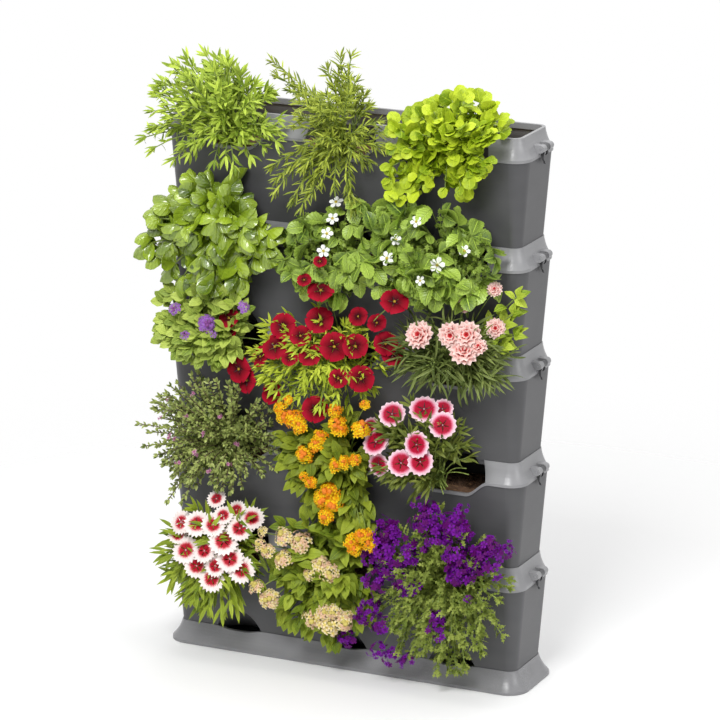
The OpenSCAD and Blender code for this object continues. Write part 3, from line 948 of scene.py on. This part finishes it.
# %% The longest shoots
# x, z and y in millimetres, where a row without y keeps that of the row before
LONG_SHOOTS = {
    "lance_herb": [
        (-342, 1018, -60), (-292, 1058), (-263, 1082), (-219, 1077), (-190, 1050), (-162, 1007),
        (-320, 1042), (-244, 1055), (-204, 1017), (-371, 920, -100), (-353, 974),
        (-342, 947, -110), (-346, 904), (-304, 886), (-272, 901), (-220, 892), (-180, 886),
        (-146, 910), (-119, 931), (-92, 943),
    ],
    "needle_herb": [
        (-161, 1076, -45), (-150, 1050), (-122, 1025), (-90, 1021), (-42, 1071), (-14, 1097),
        (9, 1101), (-27, 1041), (27, 1022), (46, 1009), (-55, 1010), (93, 997, -95), (114, 980),
        (129, 952), (99, 949), (19, 967), (-9, 973), (47, 961), (75, 921), (-119, 902, -125),
        (-108, 879), (-112, 854), (-74, 841), (-55, 830), (-32, 859), (-10, 882), (16, 874),
        (46, 864), (57, 837), (-51, 906),
    ],
    "round_leaf_herb": [
        (120, 1009, -60), (142, 1025), (171, 1042), (200, 1051), (230, 1056), (259, 1052),
        (284, 1042), (299, 1020), (303, 996), (118, 994, -120), (110, 959), (103, 920), (100, 892),
        (107, 866), (133, 861), (159, 874), (184, 891), (217, 887), (250, 894), (268, 917),
        (300, 954), (307, 995),
    ],
    "basil": [
        (-370, 759, -110), (-365, 738), (-349, 715), (-312, 830), (-292, 850), (-265, 858),
        (-234, 850), (-200, 835), (-162, 822), (-131, 808), (-104, 792), (-112, 756), (-132, 732),
        (-314, 697), (-291, 675), (-260, 660), (-225, 655), (-190, 668), (-163, 690),
        (-176, 848, -100), (-204, 862), (-232, 872, -104), (-262, 874), (-180, 812, -112),
        (-150, 800),
    ],
    "yellow_clusters": [
        (40, 320, -120), (62, 300, -118), (78, 290, -115), (48, 285, -122), (28, 300, -124),
        (70, 320, -112), (-60, 400, -118), (-84, 420, -112), (-80, 385), (-60, 352, -118),
    ],
    "lilac_bush": [
        (-330, 640, -100), (-312, 660, -105), (-285, 655, -110), (-256, 668, -115),
        (-228, 664, -118), (-204, 668), (-180, 662, -112), (-166, 640, -105), (-176, 610, -110),
        (-200, 600, -120), (-230, 596, -122), (-262, 598, -118), (-290, 604, -112),
        (-318, 614, -104), (-190, 684, -100), (-222, 682),
    ],
    "cream_clusters": [
        (-62, 262, -120), (-38, 272, -125), (-10, 268), (14, 262), (36, 250, -120),
        (52, 226, -115), (-88, 262), (-30, 290, -110), (0, 286), (26, 278),
    ],
    "strawberry_middle": [
        (-94, 742, -115), (-77, 769, -120), (-54, 789), (-37, 801), (-13, 821, -110), (10, 838),
        (38, 855), (62, 868), (51, 828, -125), (75, 803, -130), (47, 776, -135), (81, 762),
        (103, 747, -130), (28, 742, -135), (0, 718), (-38, 703, -130), (-47, 737, -135),
        (-70, 720, -125), (70, 720, -130), (112, 717, -125), (88, 850, -112), (66, 780, -130),
        (20, 800), (92, 820, -120),
    ],
    "strawberry_right": [
        (112, 873, -115), (136, 850, -118), (158, 835, -125), (103, 827), (122, 805, -135),
        (99, 781, -130), (131, 768, -135), (159, 732, -130), (196, 726), (236, 741),
        (177, 707, -120), (269, 745), (296, 764, -110), (308, 788, -105), (298, 810),
        (268, 828, -115), (241, 845), (213, 859, -112), (186, 868), (140, 867), (110, 850, -125),
        (90, 800, -120),
    ],
    "fine_leaf_bush": [
        (-377, 408, -105), (-366, 369), (-357, 396), (-341, 438), (-324, 466), (-300, 491),
        (-272, 509), (-249, 483), (-222, 472), (-323, 274), (-315, 298), (-295, 275), (-279, 318),
        (-249, 340), (-210, 331), (-180, 364), (-137, 355), (-110, 359), (-98, 394), (-144, 416),
        (-179, 441), (-194, 472),
    ],
}


def written_ends(plant):
    """The written ends of a plant's shoots, in metres."""
    ends, y = [], 0
    for x, z, *new_y in LONG_SHOOTS.get(plant, []):
        y = new_y[0] if new_y else y
        ends.append(Vector((x, y, z)) * MM)
    return ends


print("long shoots:", {plant: len(rows) for plant, rows in LONG_SHOOTS.items()})

# %% [markdown]
# ## The foliage maker
# One function makes most of the leafy plants; the strawberries and the salmon pinks' sprig
# are made apart. What differs is its leaf, its finish, how many shoots it has, and how its
# leaves stand: their spacing and size in metres come first, and the rest is named.

# %% The foliage maker
def shoot_ends(bush, mound, shoots, crown_shoots=0, clumps=0, inset=0.0):
    """The ends of a plant's shoots: its written ones, random ones on its mound and over the
    mouth. They are drawn in by the inset, because leaves stand out past them."""
    random = [mound.tip(bush.chance, clumps) for _ in range(shoots)]
    crown = [mound.crown_tip(bush.chance) for _ in range(crown_shoots)]
    ends = written_ends(bush.plant) + random + crown
    for end in ends:
        end.x -= (end.x - mound.x) / mound.half * inset
        end.z -= (end.z - mound.z) / mound.tall * inset
    return ends


def foliage(plant, seed, leaves, finish, shoots, spacing, size, stalk=GREEN_STALK,
            radius=STALK_RADIUS, crown_shoots=0, clumps=0, inset=0.0, **clothing):
    """The usual foliage: shoots to places on the mound, clothed with leaves."""
    mound = MOUNDS[plant]
    bush = Bush(plant + "_leaves", plant, mound.level, [finish, stalk], seed)
    laid = 0
    for end in shoot_ends(bush, mound, shoots, crown_shoots, clumps, inset):
        points = mound.shoot(bush.chance, end)
        stem(bush, points, radius)
        laid += clothe(bush, points, leaves, spacing, size, **clothing)
    print(plant, "leaves", laid)
    bush.finish([plant])

print("stalks are", STALK_RADIUS, "m in radius")

# %% [markdown]
# ## The herbs of the top level
# Three herbs stand on the top level: one with lance-shaped leaves, one with broad needles
# on upright and hanging shoots, and one with round, light leaves. Some of their shoots also
# rise out of the open mouth.

# %% The herbs of the top level
LEAN_LANCE = [(0, 0.02), (0.2, 0.07), (0.5, 0.10), (0.8, 0.06), (1, 0.0)]
BROAD_NEEDLE = [(0, 0.03), (0.3, 0.065), (0.7, 0.06), (1, 0.0)]
lance_leaves = shapes("lance_leaf", LEAN_LANCE, droop=(0.2, 0.5, 0.9), along=4, fold=0.3)
needles = shapes("needle", BROAD_NEEDLE, droop=(0.1, 0.45, 0.8), along=3, fold=0.4)
BLUNT = [(0, 0.06), (0.08, 0.30), (0.3, 0.48), (0.6, 0.50), (0.86, 0.34), (1, 0.10)]
round_leaves = [
    Shape("round_leaf", blade(BLUNT, along=6, across=4, fold=fold, droop=0.35, cup=cup,
                              wave=0.12, teeth=0.1))
    for fold, cup in ((0.1, 0.1), (0.0, -0.25), (0.25, -0.1))]

foliage("lance_herb", 11, lance_leaves,
        leaf_finish("lance_herb_leaf", (84, 116, 14), (204, 226, 88), veins=0),
        52, 0.0066, 0.034, spread=0.7, first=0.3, crown=5, crown_shoots=40, loose=0.45, clumps=15,
        inset=0.012)
foliage("needle_herb", 12, needles,
        leaf_finish("needle_herb_leaf", (60, 84, 16), (190, 204, 76), veins=0),
        22, 0.0054, 0.026, spread=0.75, first=0.32, whorl=2, crown=6, crown_shoots=10,
        shrink=0.15, inset=0.010)
foliage("round_leaf_herb", 13, round_leaves,
        leaf_finish("round_herb_leaf", (96, 130, 6), (200, 218, 52), rib=0.25, veins=5),
        40, 0.017, 0.030, spread=1.15, first=0.3, whorl=2, crown=2, crown_shoots=14, vary=0.45,
        loose=0.7, clumps=12, inset=0.017, sag=0.15, to_light=0.8)

# %% [markdown]
# ## Basil and strawberries
# Basil has broad cupped leaves in crossed pairs. A strawberry leaf is three toothed
# leaflets at the end of a long stalk, and its flowers are white with a yellow middle.

# %% Basil and strawberries
BASIL = [(0, 0.04), (0.1, 0.20), (0.32, 0.34), (0.6, 0.33), (0.85, 0.19), (1, 0.02)]
basil_leaves = shapes("basil_leaf", BASIL, droop=(0.6, 1.0, 1.5), along=6, across=4, fold=0.0,
                      cup=-0.9, wave=0.08)
foliage("basil", 14, basil_leaves,
        leaf_finish("basil_leaf", (48, 78, 4), (170, 196, 52), rib=0.12, veins=5,
                    roughness=0.17, relief=0.0012, shine=1.0),
        24, 0.031, 0.053, spread=1.25, first=0.45, whorl=2, radius=0.0016, crown=4, loose=0.6,
        clumps=13, inset=0.020, sag=0.5, vary=0.35, shrink=0.1, to_light=0.6)

TOOTHED = [(0, 0.04), (0.2, 0.24), (0.5, 0.36), (0.8, 0.30), (0.93, 0.16), (1, 0.05)]
FEATHER = [(0, 0.03), (0.25, 0.16), (0.5, 0.3), (0.75, 0.22), (1, 0.05)]
toothed_leaves = shapes("toothed_leaf", TOOTHED, fold=(0.1, 0.45, 0.8), along=13, droop=0.6,
                        teeth=0.17, wave=0.05)
feather_leaves = shapes("feather_leaf", FEATHER, droop=(0.2, 0.7), along=7, fold=0.2, teeth=0.8)


def trifoliate(bush, points, leaves, size):
    """Three leaflets at the end of a stalk."""
    end, ahead = points[-1], (points[-1] - points[-2]).normalized()
    facing = (LIGHT * 0.8 + jitter(bush.chance, 0.6)).normalized()
    level = (ahead - facing * ahead.dot(facing)).normalized()
    for turn in (-1.2, 0.0, 1.2):
        way = turned(level, turn, facing)
        way.z -= 0.25
        leaf = leaves[int(bush.chance.integers(len(leaves)))]
        lay_leaf(bush, leaf, end, way, facing, size * bush.chance.uniform(0.85, 1.1))


def strawberry(plant, seed, finish, shoots, size, feathers):
    """Leaves in threes on long stalks, and feathery young shoots in the gaps between them."""
    mound = MOUNDS[plant]
    bush = Bush(plant + "_leaves", plant, mound.level, [finish, GREEN_STALK], seed)
    for end in shoot_ends(bush, mound, shoots, inset=0.008):
        points = mound.shoot(bush.chance, end, 0.4)
        stem(bush, points)
        trifoliate(bush, points, toothed_leaves, size * bush.chance.uniform(0.7, 1.1))
    for _ in range(feathers):
        points = mound.shoot(bush.chance, mound.tip(bush.chance))
        stem(bush, points, 0.0009)
        clothe(bush, points, feather_leaves, 0.011, 0.022, whorl=2, first=0.35, loose=0.4)
    bush.finish([plant])


strawberry_leaf = leaf_finish("strawberry_leaf", (46, 80, 12), (176, 204, 82), rib=0.8,
                              veins=7, roughness=0.34, relief=0.002, edge=0.4, shine=0.5)
strawberry("strawberry_middle", 15, strawberry_leaf, 12, 0.036, feathers=80)
strawberry("strawberry_right", 16, strawberry_leaf, 34, 0.040, feathers=44)

# %% [markdown]
# ## The green of the flowering plants
# The flowering plants differ in their leaves too: grey-green blades on the pinks, tiny dark
# leaves on the bush at the left, broad veined leaves under the clustered flowers.

# %% Leaves of levels 3 to 1
TINY = [(0, 0.03), (0.33, 0.21), (0.66, 0.18), (1, 0.0)]
MINTY = [(0, 0.03), (0.12, 0.24), (0.35, 0.38), (0.6, 0.34), (0.85, 0.18), (1, 0.02)]
FERNY = [(0, 0.03), (0.3, 0.13), (0.6, 0.15), (0.85, 0.09), (1, 0.02)]
tiny_leaves = shapes("tiny_leaf", TINY, droop=(0.3,), along=3, fold=0.3)
long_blades = shapes("long_blade", NEEDLE, droop=(0.3, 0.8, 1.3), along=5, fold=0.5)
broad_leaves = shapes("broad_leaf", OVATE, droop=(0.4, 0.9), along=6, fold=0.25, wave=0.2)
minty_leaves = shapes("minty_leaf", MINTY, droop=(0.3, 0.8), along=6, fold=0.2, teeth=0.12)
ferny_leaves = shapes("ferny_leaf", FERNY, droop=(0.2, 0.7), along=7, fold=0.2, teeth=1.3)

foliage("lilac_bush", 17, minty_leaves,
        leaf_finish("lilac_bush_leaf", (84, 116, 24), (202, 220, 104), rib=0.4, veins=6,
                    relief=0.001),
        44, 0.015, 0.034, spread=1.1, first=0.3, whorl=2, crown=3, loose=0.55, vary=0.4,
        inset=0.004)
foliage("red_trumpets", 18, lance_leaves,
        leaf_finish("trumpet_leaf", (130, 156, 14), (228, 242, 84), veins=6),
        110, 0.0085, 0.030, spread=0.95, first=0.3, crown=4, loose=0.45)
foliage("salmon_pinks", 19, long_blades,
        leaf_finish("salmon_pink_blade", (64, 82, 28), (140, 154, 84), veins=0),
        66, 0.017, 0.072, spread=0.6, first=0.2, whorl=2, shrink=0.4, loose=0.3)
sprig_leaf = leaf_finish("sprig_leaf", (110, 140, 20), (196, 214, 76), rib=0.5, veins=7,
                         relief=0.001)
sprig = Bush("salmon_pinks_sprig", "salmon_pinks", 3, [sprig_leaf, GREEN_STALK], 26)
for end in ((318, -98, 668), (334, -98, 652), (300, -104, 650), (316, -104, 634),
            (330, -98, 690), (338, -98, 722)):
    points = MOUNDS["salmon_pinks"].shoot(sprig.chance, Vector(end) * MM)
    stem(sprig, points)
    clothe(sprig, points, broad_leaves, 0.022, 0.036, spread=1.0, first=0.65, whorl=2, crown=4,
           loose=0.4)
sprig.finish()
foliage("fine_leaf_bush", 20, tiny_leaves,
        leaf_finish("fine_bush_leaf", (54, 76, 16), (190, 202, 116), veins=0,
                    roughness=0.3),
        128, 0.0056, 0.0135, stalk=BROWN_STALK, spread=0.9, first=0.25, whorl=2, crown=4)
BROAD = dict(spread=1.1, first=0.3, whorl=2, crown=3, loose=0.45, vary=0.35, sag=0.2)
foliage("yellow_clusters", 21, broad_leaves,
        leaf_finish("yellow_cluster_leaf", (64, 86, 12), (160, 174, 52), relief=0.001),
        58, 0.018, 0.042, clumps=12, **BROAD)
foliage("crimson_eyes", 22, lance_leaves,
        leaf_finish("crimson_eye_leaf", (66, 82, 24), (138, 148, 66), veins=0),
        50, 0.0115, 0.038, spread=0.6, first=0.25, whorl=2, crown=3, loose=0.35)
foliage("red_eyes", 23, lance_leaves,
        leaf_finish("red_eye_leaf", (88, 114, 20), (170, 186, 60), veins=0),
        50, 0.013, 0.052, spread=0.6, first=0.25, whorl=2, crown=3)
foliage("cream_clusters", 24, broad_leaves,
        leaf_finish("cream_cluster_leaf", (74, 100, 14), (166, 182, 58), relief=0.001),
        64, 0.018, 0.042, clumps=14, **BROAD)
foliage("violet_clusters", 25, ferny_leaves,
        leaf_finish("violet_cluster_leaf", (84, 106, 24), (166, 180, 84)),
        110, 0.0078, 0.022, spread=0.85, first=0.3, whorl=2, crown=5, loose=0.4)

# %% [markdown]
# ## Blossoms
# Flowers are laid at written places: x, y and z in millimetres, and a size factor. Each
# looks outwards from the mound and a little towards the light.

# %% Flower places
PLACES = {
    "red_trumpets": [
        (-3, -150, 704, 1.1), (-13, -122, 647, 1.15), (-79, -127, 630, 1.1), (-90, -137, 594, 1.1),
        (-176, -104, 536, 1.15), (-163, -99, 516, 1.1), (-22, -148, 588, 1), (-59, -144, 581, 0.7),
        (21, -140, 608, 1.2), (58, -128, 611, 1.05), (103, -104, 615, 1), (116, -99, 597, 1),
        (32, -142, 555, 0.8), (68, -128, 555, 1.1), (-110, -109, 503, 1), (-20, -126, 489, 1.1),
        (52, -104, 657, 0.8), (86, -102, 649, 0.8), (134, -150, 700, 1.15), (-30, -148, 722, 0.6),
        (0, -146, 758, 0.55), (-197, -99, 623, 0.9), (-200, -99, 593, 0.9), (-44, -132, 618, 0.9),
        (-130, -112, 566, 0.9),
    ],
    "lilac_bush": [
        (-226, -150, 618, 1.3), (-284, -146, 640, 0.9), (-150, -140, 659, 0.9),
        (-262, -150, 596, 0.7), (-206, -150, 606, 0.6),
    ],
    "salmon_pinks": [
        (254, -100, 723, 1.15), (302, -100, 733, 0.6), (246, -100, 693, 0.4),
        (304, -100, 665, 0.8), (178, -132, 647, 1.1), (237, -133, 654, 1), (265, -129, 656, 1.1),
        (263, -138, 630, 1.15), (287, -131, 639, 0.7),
    ],
    "crimson_eyes": [
        (123, -120, 497, 1.1), (182, -119, 513, 1.2), (219, -124, 491, 1.1), (210, -105, 513, 0.9),
        (71, -101, 462, 0.9), (95, -124, 445, 1.2), (177, -141, 455, 1.1), (99, -122, 404, 1),
        (148, -140, 418, 1.1), (184, -142, 425, 1.1),
    ],
    "yellow_clusters": [
        (-82, -140, 485, 0.8), (-65, -138, 503, 0.6), (-57, -144, 467, 1.1), (-76, -142, 471, 0.9),
        (-46, -146, 457, 0.9), (-5, -146, 445, 0.8), (-14, -148, 429, 0.9), (23, -144, 470, 1),
        (32, -144, 460, 0.8), (68, -138, 465, 1), (40, -146, 404, 0.8), (24, -148, 398, 0.9),
        (61, -140, 412, 0.7), (-38, -146, 406, 1), (79, -134, 512, 0.6), (23, -140, 495, 0.8),
        (-23, -146, 359, 0.7), (-35, -144, 370, 0.6), (-4, -146, 329, 1.1), (15, -146, 325, 1.1),
        (7, -148, 344, 1.1), (3, -144, 301, 0.9), (53, -136, 261, 0.9), (72, -134, 276, 0.8),
        (87, -130, 260, 0.8), (60, -136, 250, 0.8), (83, -132, 278, 0.7),
    ],
    "red_eyes": [
        (-248, -131, 251, 1.1), (-284, -122, 246, 1), (-185, -102, 277, 0.8), (-155, -102, 266, 1),
        (-170, -120, 250, 1.05), (-194, -137, 228, 1.2), (-268, -139, 201, 1.15),
        (-230, -142, 206, 1), (-224, -102, 292, 0.8), (-181, -138, 198, 1.1),
        (-217, -142, 156, 1.1), (-161, -132, 179, 1.1), (-246, -142, 176, 1), (-216, -131, 254, 1),
        (-202, -120, 270, 0.8), (-208, -146, 182, 0.9), (-290, -124, 222, 0.8),
    ],
    "cream_clusters": [
        (-79, -145, 250, 1), (-49, -145, 243, 1.1), (-81, -145, 208, 1.05), (-109, -140, 221, 0.8),
        (-9, -150, 208, 1), (8, -150, 196, 1), (-26, -150, 193, 0.8), (-132, -135, 152, 0.8),
        (-110, -140, 130, 1.1), (-24, -150, 107, 1.15), (4, -150, 100, 1.1), (32, -145, 112, 1.1),
        (-2, -150, 122, 1), (-117, -135, 256, 0.6), (-123, -138, 232, 0.7), (18, -148, 128, 0.8),
    ],
    "violet_clusters": [
        (102, -104, 277, 1.2), (106, -124, 249, 1.2), (96, -128, 196, 1), (152, -147, 199, 1.2),
        (162, -142, 252, 1), (183, -104, 334, 0.9), (186, -120, 316, 1), (230, -130, 303, 1.4),
        (245, -104, 340, 0.6), (253, -121, 308, 0.8), (243, -142, 264, 1), (286, -134, 256, 1.4),
        (300, -114, 281, 1), (331, -104, 278, 0.7), (246, -147, 225, 1.2), (57, -104, 121, 0.8),
        (104, -120, 111, 0.9), (30, -102, 71, 0.9), (208, -147, 125, 0.9), (113, -104, 53, 0.8),
        (145, -104, 48, 0.7), (276, -144, 193, 0.4), (124, -132, 226, 1.1), (128, -120, 286, 0.9),
        (206, -138, 286, 0.9), (80, -112, 140, 0.8), (212, -146, 148, 0.8), (262, -144, 240, 1),
        (94, -116, 62, 0.7), (196, -128, 326, 0.9), (82, -110, 256, 1), (76, -108, 232, 0.9),
    ],
    "strawberry_middle": [
        (8, -99, 852, 1), (9, -115, 827, 0.9), (6, -131, 804, 0.9), (3, -139, 775, 0.9),
        (70, -110, 775, 1.1), (-54, -118, 742, 0.7),
    ],
    "strawberry_right": [
        (215, -141, 775, 1.1), (260, -131, 802, 0.8), (134, -130, 807, 0.8), (122, -140, 776, 1),
        (170, -128, 842, 0.8), (186, -146, 746, 0.7),
    ],
    "fine_leaf_bush": [
        (-330, -112, 430, 0.8), (-300, -122, 402, 1), (-268, -130, 446, 0.8),
        (-232, -134, 420, 0.9), (-250, -130, 378, 1), (-205, -128, 452, 0.9), (-176, -118, 404, 1),
        (-288, -126, 356, 0.8), (-222, -134, 352, 0.9), (-312, -112, 468, 0.7),
        (-190, -120, 366, 0.9), (-262, -116, 482, 0.8),
    ],
}
print("flowers:", sum(len(rows) for rows in PLACES.values()))

# %% [markdown]
# ## The blossom maker
# Every flower has a stalk of its own back to the root, so that none floats. A single head
# is one or more whorls of petals with an eye, and a cluster is a dome of small florets,
# which the golden angle spreads evenly.

# %% The blossom maker
FORWARD, PETALS_OUT = 0.008, 0.82


def blossoms(plant, seed, finishes, build, span):
    """One blossom piece: a stalk and a flower, or a cluster, at each written place."""
    mound = MOUNDS[plant]
    bush = Bush(plant + "_blossoms", plant, mound.level, [*finishes, GREEN_STALK], seed)
    stalk = Shape("flower_stalk", stick(), len(finishes), STALK_CELLS)
    for x, y, z, factor in PLACES[plant]:
        place = Vector((x, y, z)) * MM
        size = span * factor
        place.y = max(place.y - FORWARD, OUTER_LOW.y + size * PETALS_OUT)
        way = (outwards(mound, place) + jitter(bush.chance, 0.16)).normalized()
        foot = place - way * size * 0.3
        stem(bush, mound.shoot(bush.chance, foot, 0.4), shape=stalk)
        build(bush, place, way, size, factor)
    bush.finish()


def single(heads, eye_share, eye_lift=0.04):
    """Lays one flower head, turned at random, and its eye."""
    def build(bush, place, way, size, factor):
        turn = bush.chance.uniform(0, math.tau)
        for head, share in heads:
            bush.lay(head, upright_at(place, way, size * share, size * share, turn))
            turn += 0.6
        middle = place + way * size * eye_lift
        bush.lay(EYE, upright_at(middle, way, size * eye_share, size * eye_share))
    return build


def cluster(florets, count, floret_share, dome=0.6, loose=0.0):
    """Lays small florets over a dome, its middle ones smaller."""
    def build(bush, place, way, size, factor):
        chance = bush.chance
        side = way.orthogonal().normalized()
        number = int(count * factor)
        for i in range(number):
            share = math.sqrt((i + 0.5) / number)
            out_way = turned(side, i * GOLDEN_ANGLE, way)
            height = dome * math.cos(share * 1.45)
            past = out_way * share * 0.9 + way * height + jitter(chance, loose)
            spot = place + past * size * 0.5
            look = (way * (0.4 + height) + out_way * share + jitter(chance, 0.15)).normalized()
            ring = int((share + chance.uniform(-0.15, 0.15)) * len(florets))
            floret = florets[max(0, min(len(florets) - 1, ring))]
            grown = size * floret_share * (0.75 + 0.35 * share)
            spot.y = max(spot.y, OUTER_LOW.y + grown * 0.5)
            turn = chance.uniform(0, math.tau)
            bush.lay(floret, upright_at(spot, look, grown * 0.5, grown * 0.5, turn))
    return build


EYE = Shape("eye", knob(0.6, 6, 3), EYE_SLOT)
print("eye faces:", len(EYE.mesh.polygons))

# %% [markdown]
# ## Trumpets and pinks
# The trumpets' petals are joined to one deep cone. The pinks have fringed petals that
# together make a round, toothed disc, and the salmon ones have four such discs, each
# steeper and smaller, as a double flower has.

# %% Crimson trumpets, pinks and carnations
TRUMPET = [(0, 0.5), (0.3, 0.75), (0.6, 0.95), (0.85, 1.0), (1, 0.86)]
FRINGED = [(0, 0.5), (0.2, 0.62), (0.5, 0.9), (0.8, 1.0), (1, 0.98)]
TRUMPET_FAN, PINK_FAN = math.radians(42), math.radians(39)


def pink(name, **form):
    """A head of five fringed petals."""
    return Shape(name, flower(FRINGED, 5, along=5, fan=PINK_FAN, **form))


trumpet = Shape("trumpet", flower(
    TRUMPET, 5, rise=0.62, along=5, across=4, fold=-0.03, droop=0.95, wave=0.05,
    fan=TRUMPET_FAN))
pink_head = pink("pink_head", rise=0.16, across=6, fold=0.02, droop=0.3, teeth=0.12, wave=0.03)
red_eye_head = pink("red_eye_head", rise=0.2, across=8, fold=0.02, droop=0.35, teeth=0.2,
                    wave=0.05)
carnation_heads = [
    (pink("carnation_head", rise=rise, across=6, fold=0.04, droop=0.3, teeth=0.2, wave=0.16), share)
    for rise, share in ((0.15, 1.0), (0.5, 0.88), (0.85, 0.72), (1.15, 0.52))]
white_head = Shape("white_head", flower(
    PETAL, 5, rise=0.2, along=3, across=2, fold=-0.1, droop=0.3))

blossoms("red_trumpets", 31, [
    petal_finish(
        "trumpet_red", (0, 30, 0, 6), (0.3, 64, 0, 12), (0.5, 118, 0, 20),
        (0.75, 160, 4, 34), (1, 180, 8, 48), roughness=0.7, change=0.5),
    eye_finish("trumpet_throat", (226, 190, 40), (120, 60, 10))],
    single([(trumpet, 1)], 0.12, eye_lift=0.08), 0.0222)
blossoms("crimson_eyes", 32, [
    petal_finish(
        "crimson_petal", (0, 226, 190, 200), (0.1, 120, 0, 24),
        (0.34, 160, 0, 34), (0.6, 178, 6, 48), (0.69, 226, 120, 150),
        (0.8, 246, 208, 222), (1, 252, 236, 242), change=0.12, streaks=0.3,
        ragged=0.2, streak=(182, 24, 70)),
    eye_finish("crimson_middle", (240, 210, 220), (150, 20, 60))],
    single([(pink_head, 1)], 0.07), 0.0212)
blossoms("red_eyes", 33, [
    petal_finish(
        "red_eye_petal", (0, 246, 214, 210), (0.14, 200, 50, 60),
        (0.22, 166, 4, 28), (0.46, 180, 16, 40), (0.54, 232, 150, 152),
        (0.63, 250, 238, 234), (1, 254, 250, 244), change=0.12, streaks=0.16,
        ragged=0.34, streak=(190, 40, 60)),
    eye_finish("red_eye_middle", (250, 236, 236), (200, 120, 130))],
    single([(red_eye_head, 1)], 0.07), 0.0218)
blossoms("salmon_pinks", 34, [
    petal_finish(
        "carnation_petal", (0, 166, 26, 38), (0.42, 204, 56, 62),
        (0.6, 224, 88, 86), (0.72, 250, 206, 196), (1, 255, 246, 238),
        change=0.15, ragged=0.34, streaks=0.32, streak=(206, 50, 64)),
    eye_finish("carnation_middle", (230, 110, 110), (250, 200, 190))],
    single(carnation_heads, 0.06), 0.022)
white_finishes = [
    petal_finish("white_petal", (0, 232, 240, 200), (0.4, 250, 252, 246),
                 (1, 255, 255, 252)),
    eye_finish("yellow_middle", (226, 200, 60), (170, 150, 40))]
for plant, seed in (("strawberry_middle", 35), ("strawberry_right", 36)):
    blossoms(plant, seed, white_finishes, single([(white_head, 1)], 0.25, eye_lift=0.08), 0.0125)

# %% [markdown]
# ## Clustered flowers
# Shrub verbenas have four-petalled florets with unopened buds in the middle of the dome,
# and the violet clusters have loose five-petalled ones. A floret has few faces, because
# there are thousands of them.

# %% Clustered flowers
FLORET = [(0, 0.1), (0.5, 0.3), (0.85, 0.42), (1, 0.3)]
floret = Shape("floret", flower(
    FLORET, 4, rise=0.15, along=2, across=2, fold=0.1, droop=0.4))
five_petals = Shape("five_petals", flower(
    FLORET, 5, rise=0.15, along=2, across=2, fold=0.1, droop=0.3))
bud = Shape("bud", knob(1.2, 6, 4), EYE_SLOT)

blossoms("yellow_clusters", 41, [
    petal_finish(
        "yellow_floret", (0, 236, 126, 8), (0.3, 250, 180, 12),
        (0.6, 254, 212, 18), (1, 255, 222, 42), change=1.0, other=(234, 110, 12)),
    eye_finish("orange_bud", (228, 104, 16), (250, 156, 36))],
    cluster([bud, floret, floret, floret], 34, 0.33, dome=0.75, loose=0.07), 0.034)
blossoms("cream_clusters", 42, [
    petal_finish(
        "cream_floret", (0, 226, 190, 50), (0.3, 240, 222, 130),
        (0.7, 246, 232, 186), (1, 240, 208, 180), change=0.9, streaks=0.14,
        other=(236, 186, 162)),
    eye_finish("cream_bud", (186, 176, 60), (236, 214, 130))],
    cluster([bud, floret, floret, floret], 30, 0.33, dome=0.7, loose=0.08), 0.036)
blossoms("violet_clusters", 43, [
    petal_finish(
        "violet_floret", (0, 56, 0, 60), (0.35, 98, 6, 120),
        (0.75, 126, 18, 156), (1, 112, 22, 180), change=1.0, other=(88, 6, 74)),
    eye_finish("violet_bud", (76, 10, 70), (140, 30, 120))],
    cluster([five_petals], 26, 0.32, loose=0.26), 0.042)
blossoms("lilac_bush", 44, [
    petal_finish("lilac_floret", (0, 130, 70, 160), (0.4, 160, 100, 196),
                 (1, 186, 136, 216), change=0.8),
    eye_finish("lilac_bud", (110, 50, 120), (160, 90, 170))],
    cluster([bud, five_petals, five_petals], 20, 0.28), 0.027)
blossoms("fine_leaf_bush", 45, [
    petal_finish("pink_floret", (0, 150, 60, 110), (0.4, 196, 120, 160),
                 (1, 226, 180, 204), change=0.6),
    eye_finish("pink_floret_middle", (230, 200, 120), (180, 90, 130))],
    cluster([five_petals], 3, 0.9, loose=0.4), 0.010)

# %% [markdown]
# ## Size
# The dressed model has to stay inside the CAD model's box, apart from the little that
# leaves stand proud. The CAD model's box is printed at the end.

# %% Print the CAD model's box
print("CAD box", CAD_BOX)
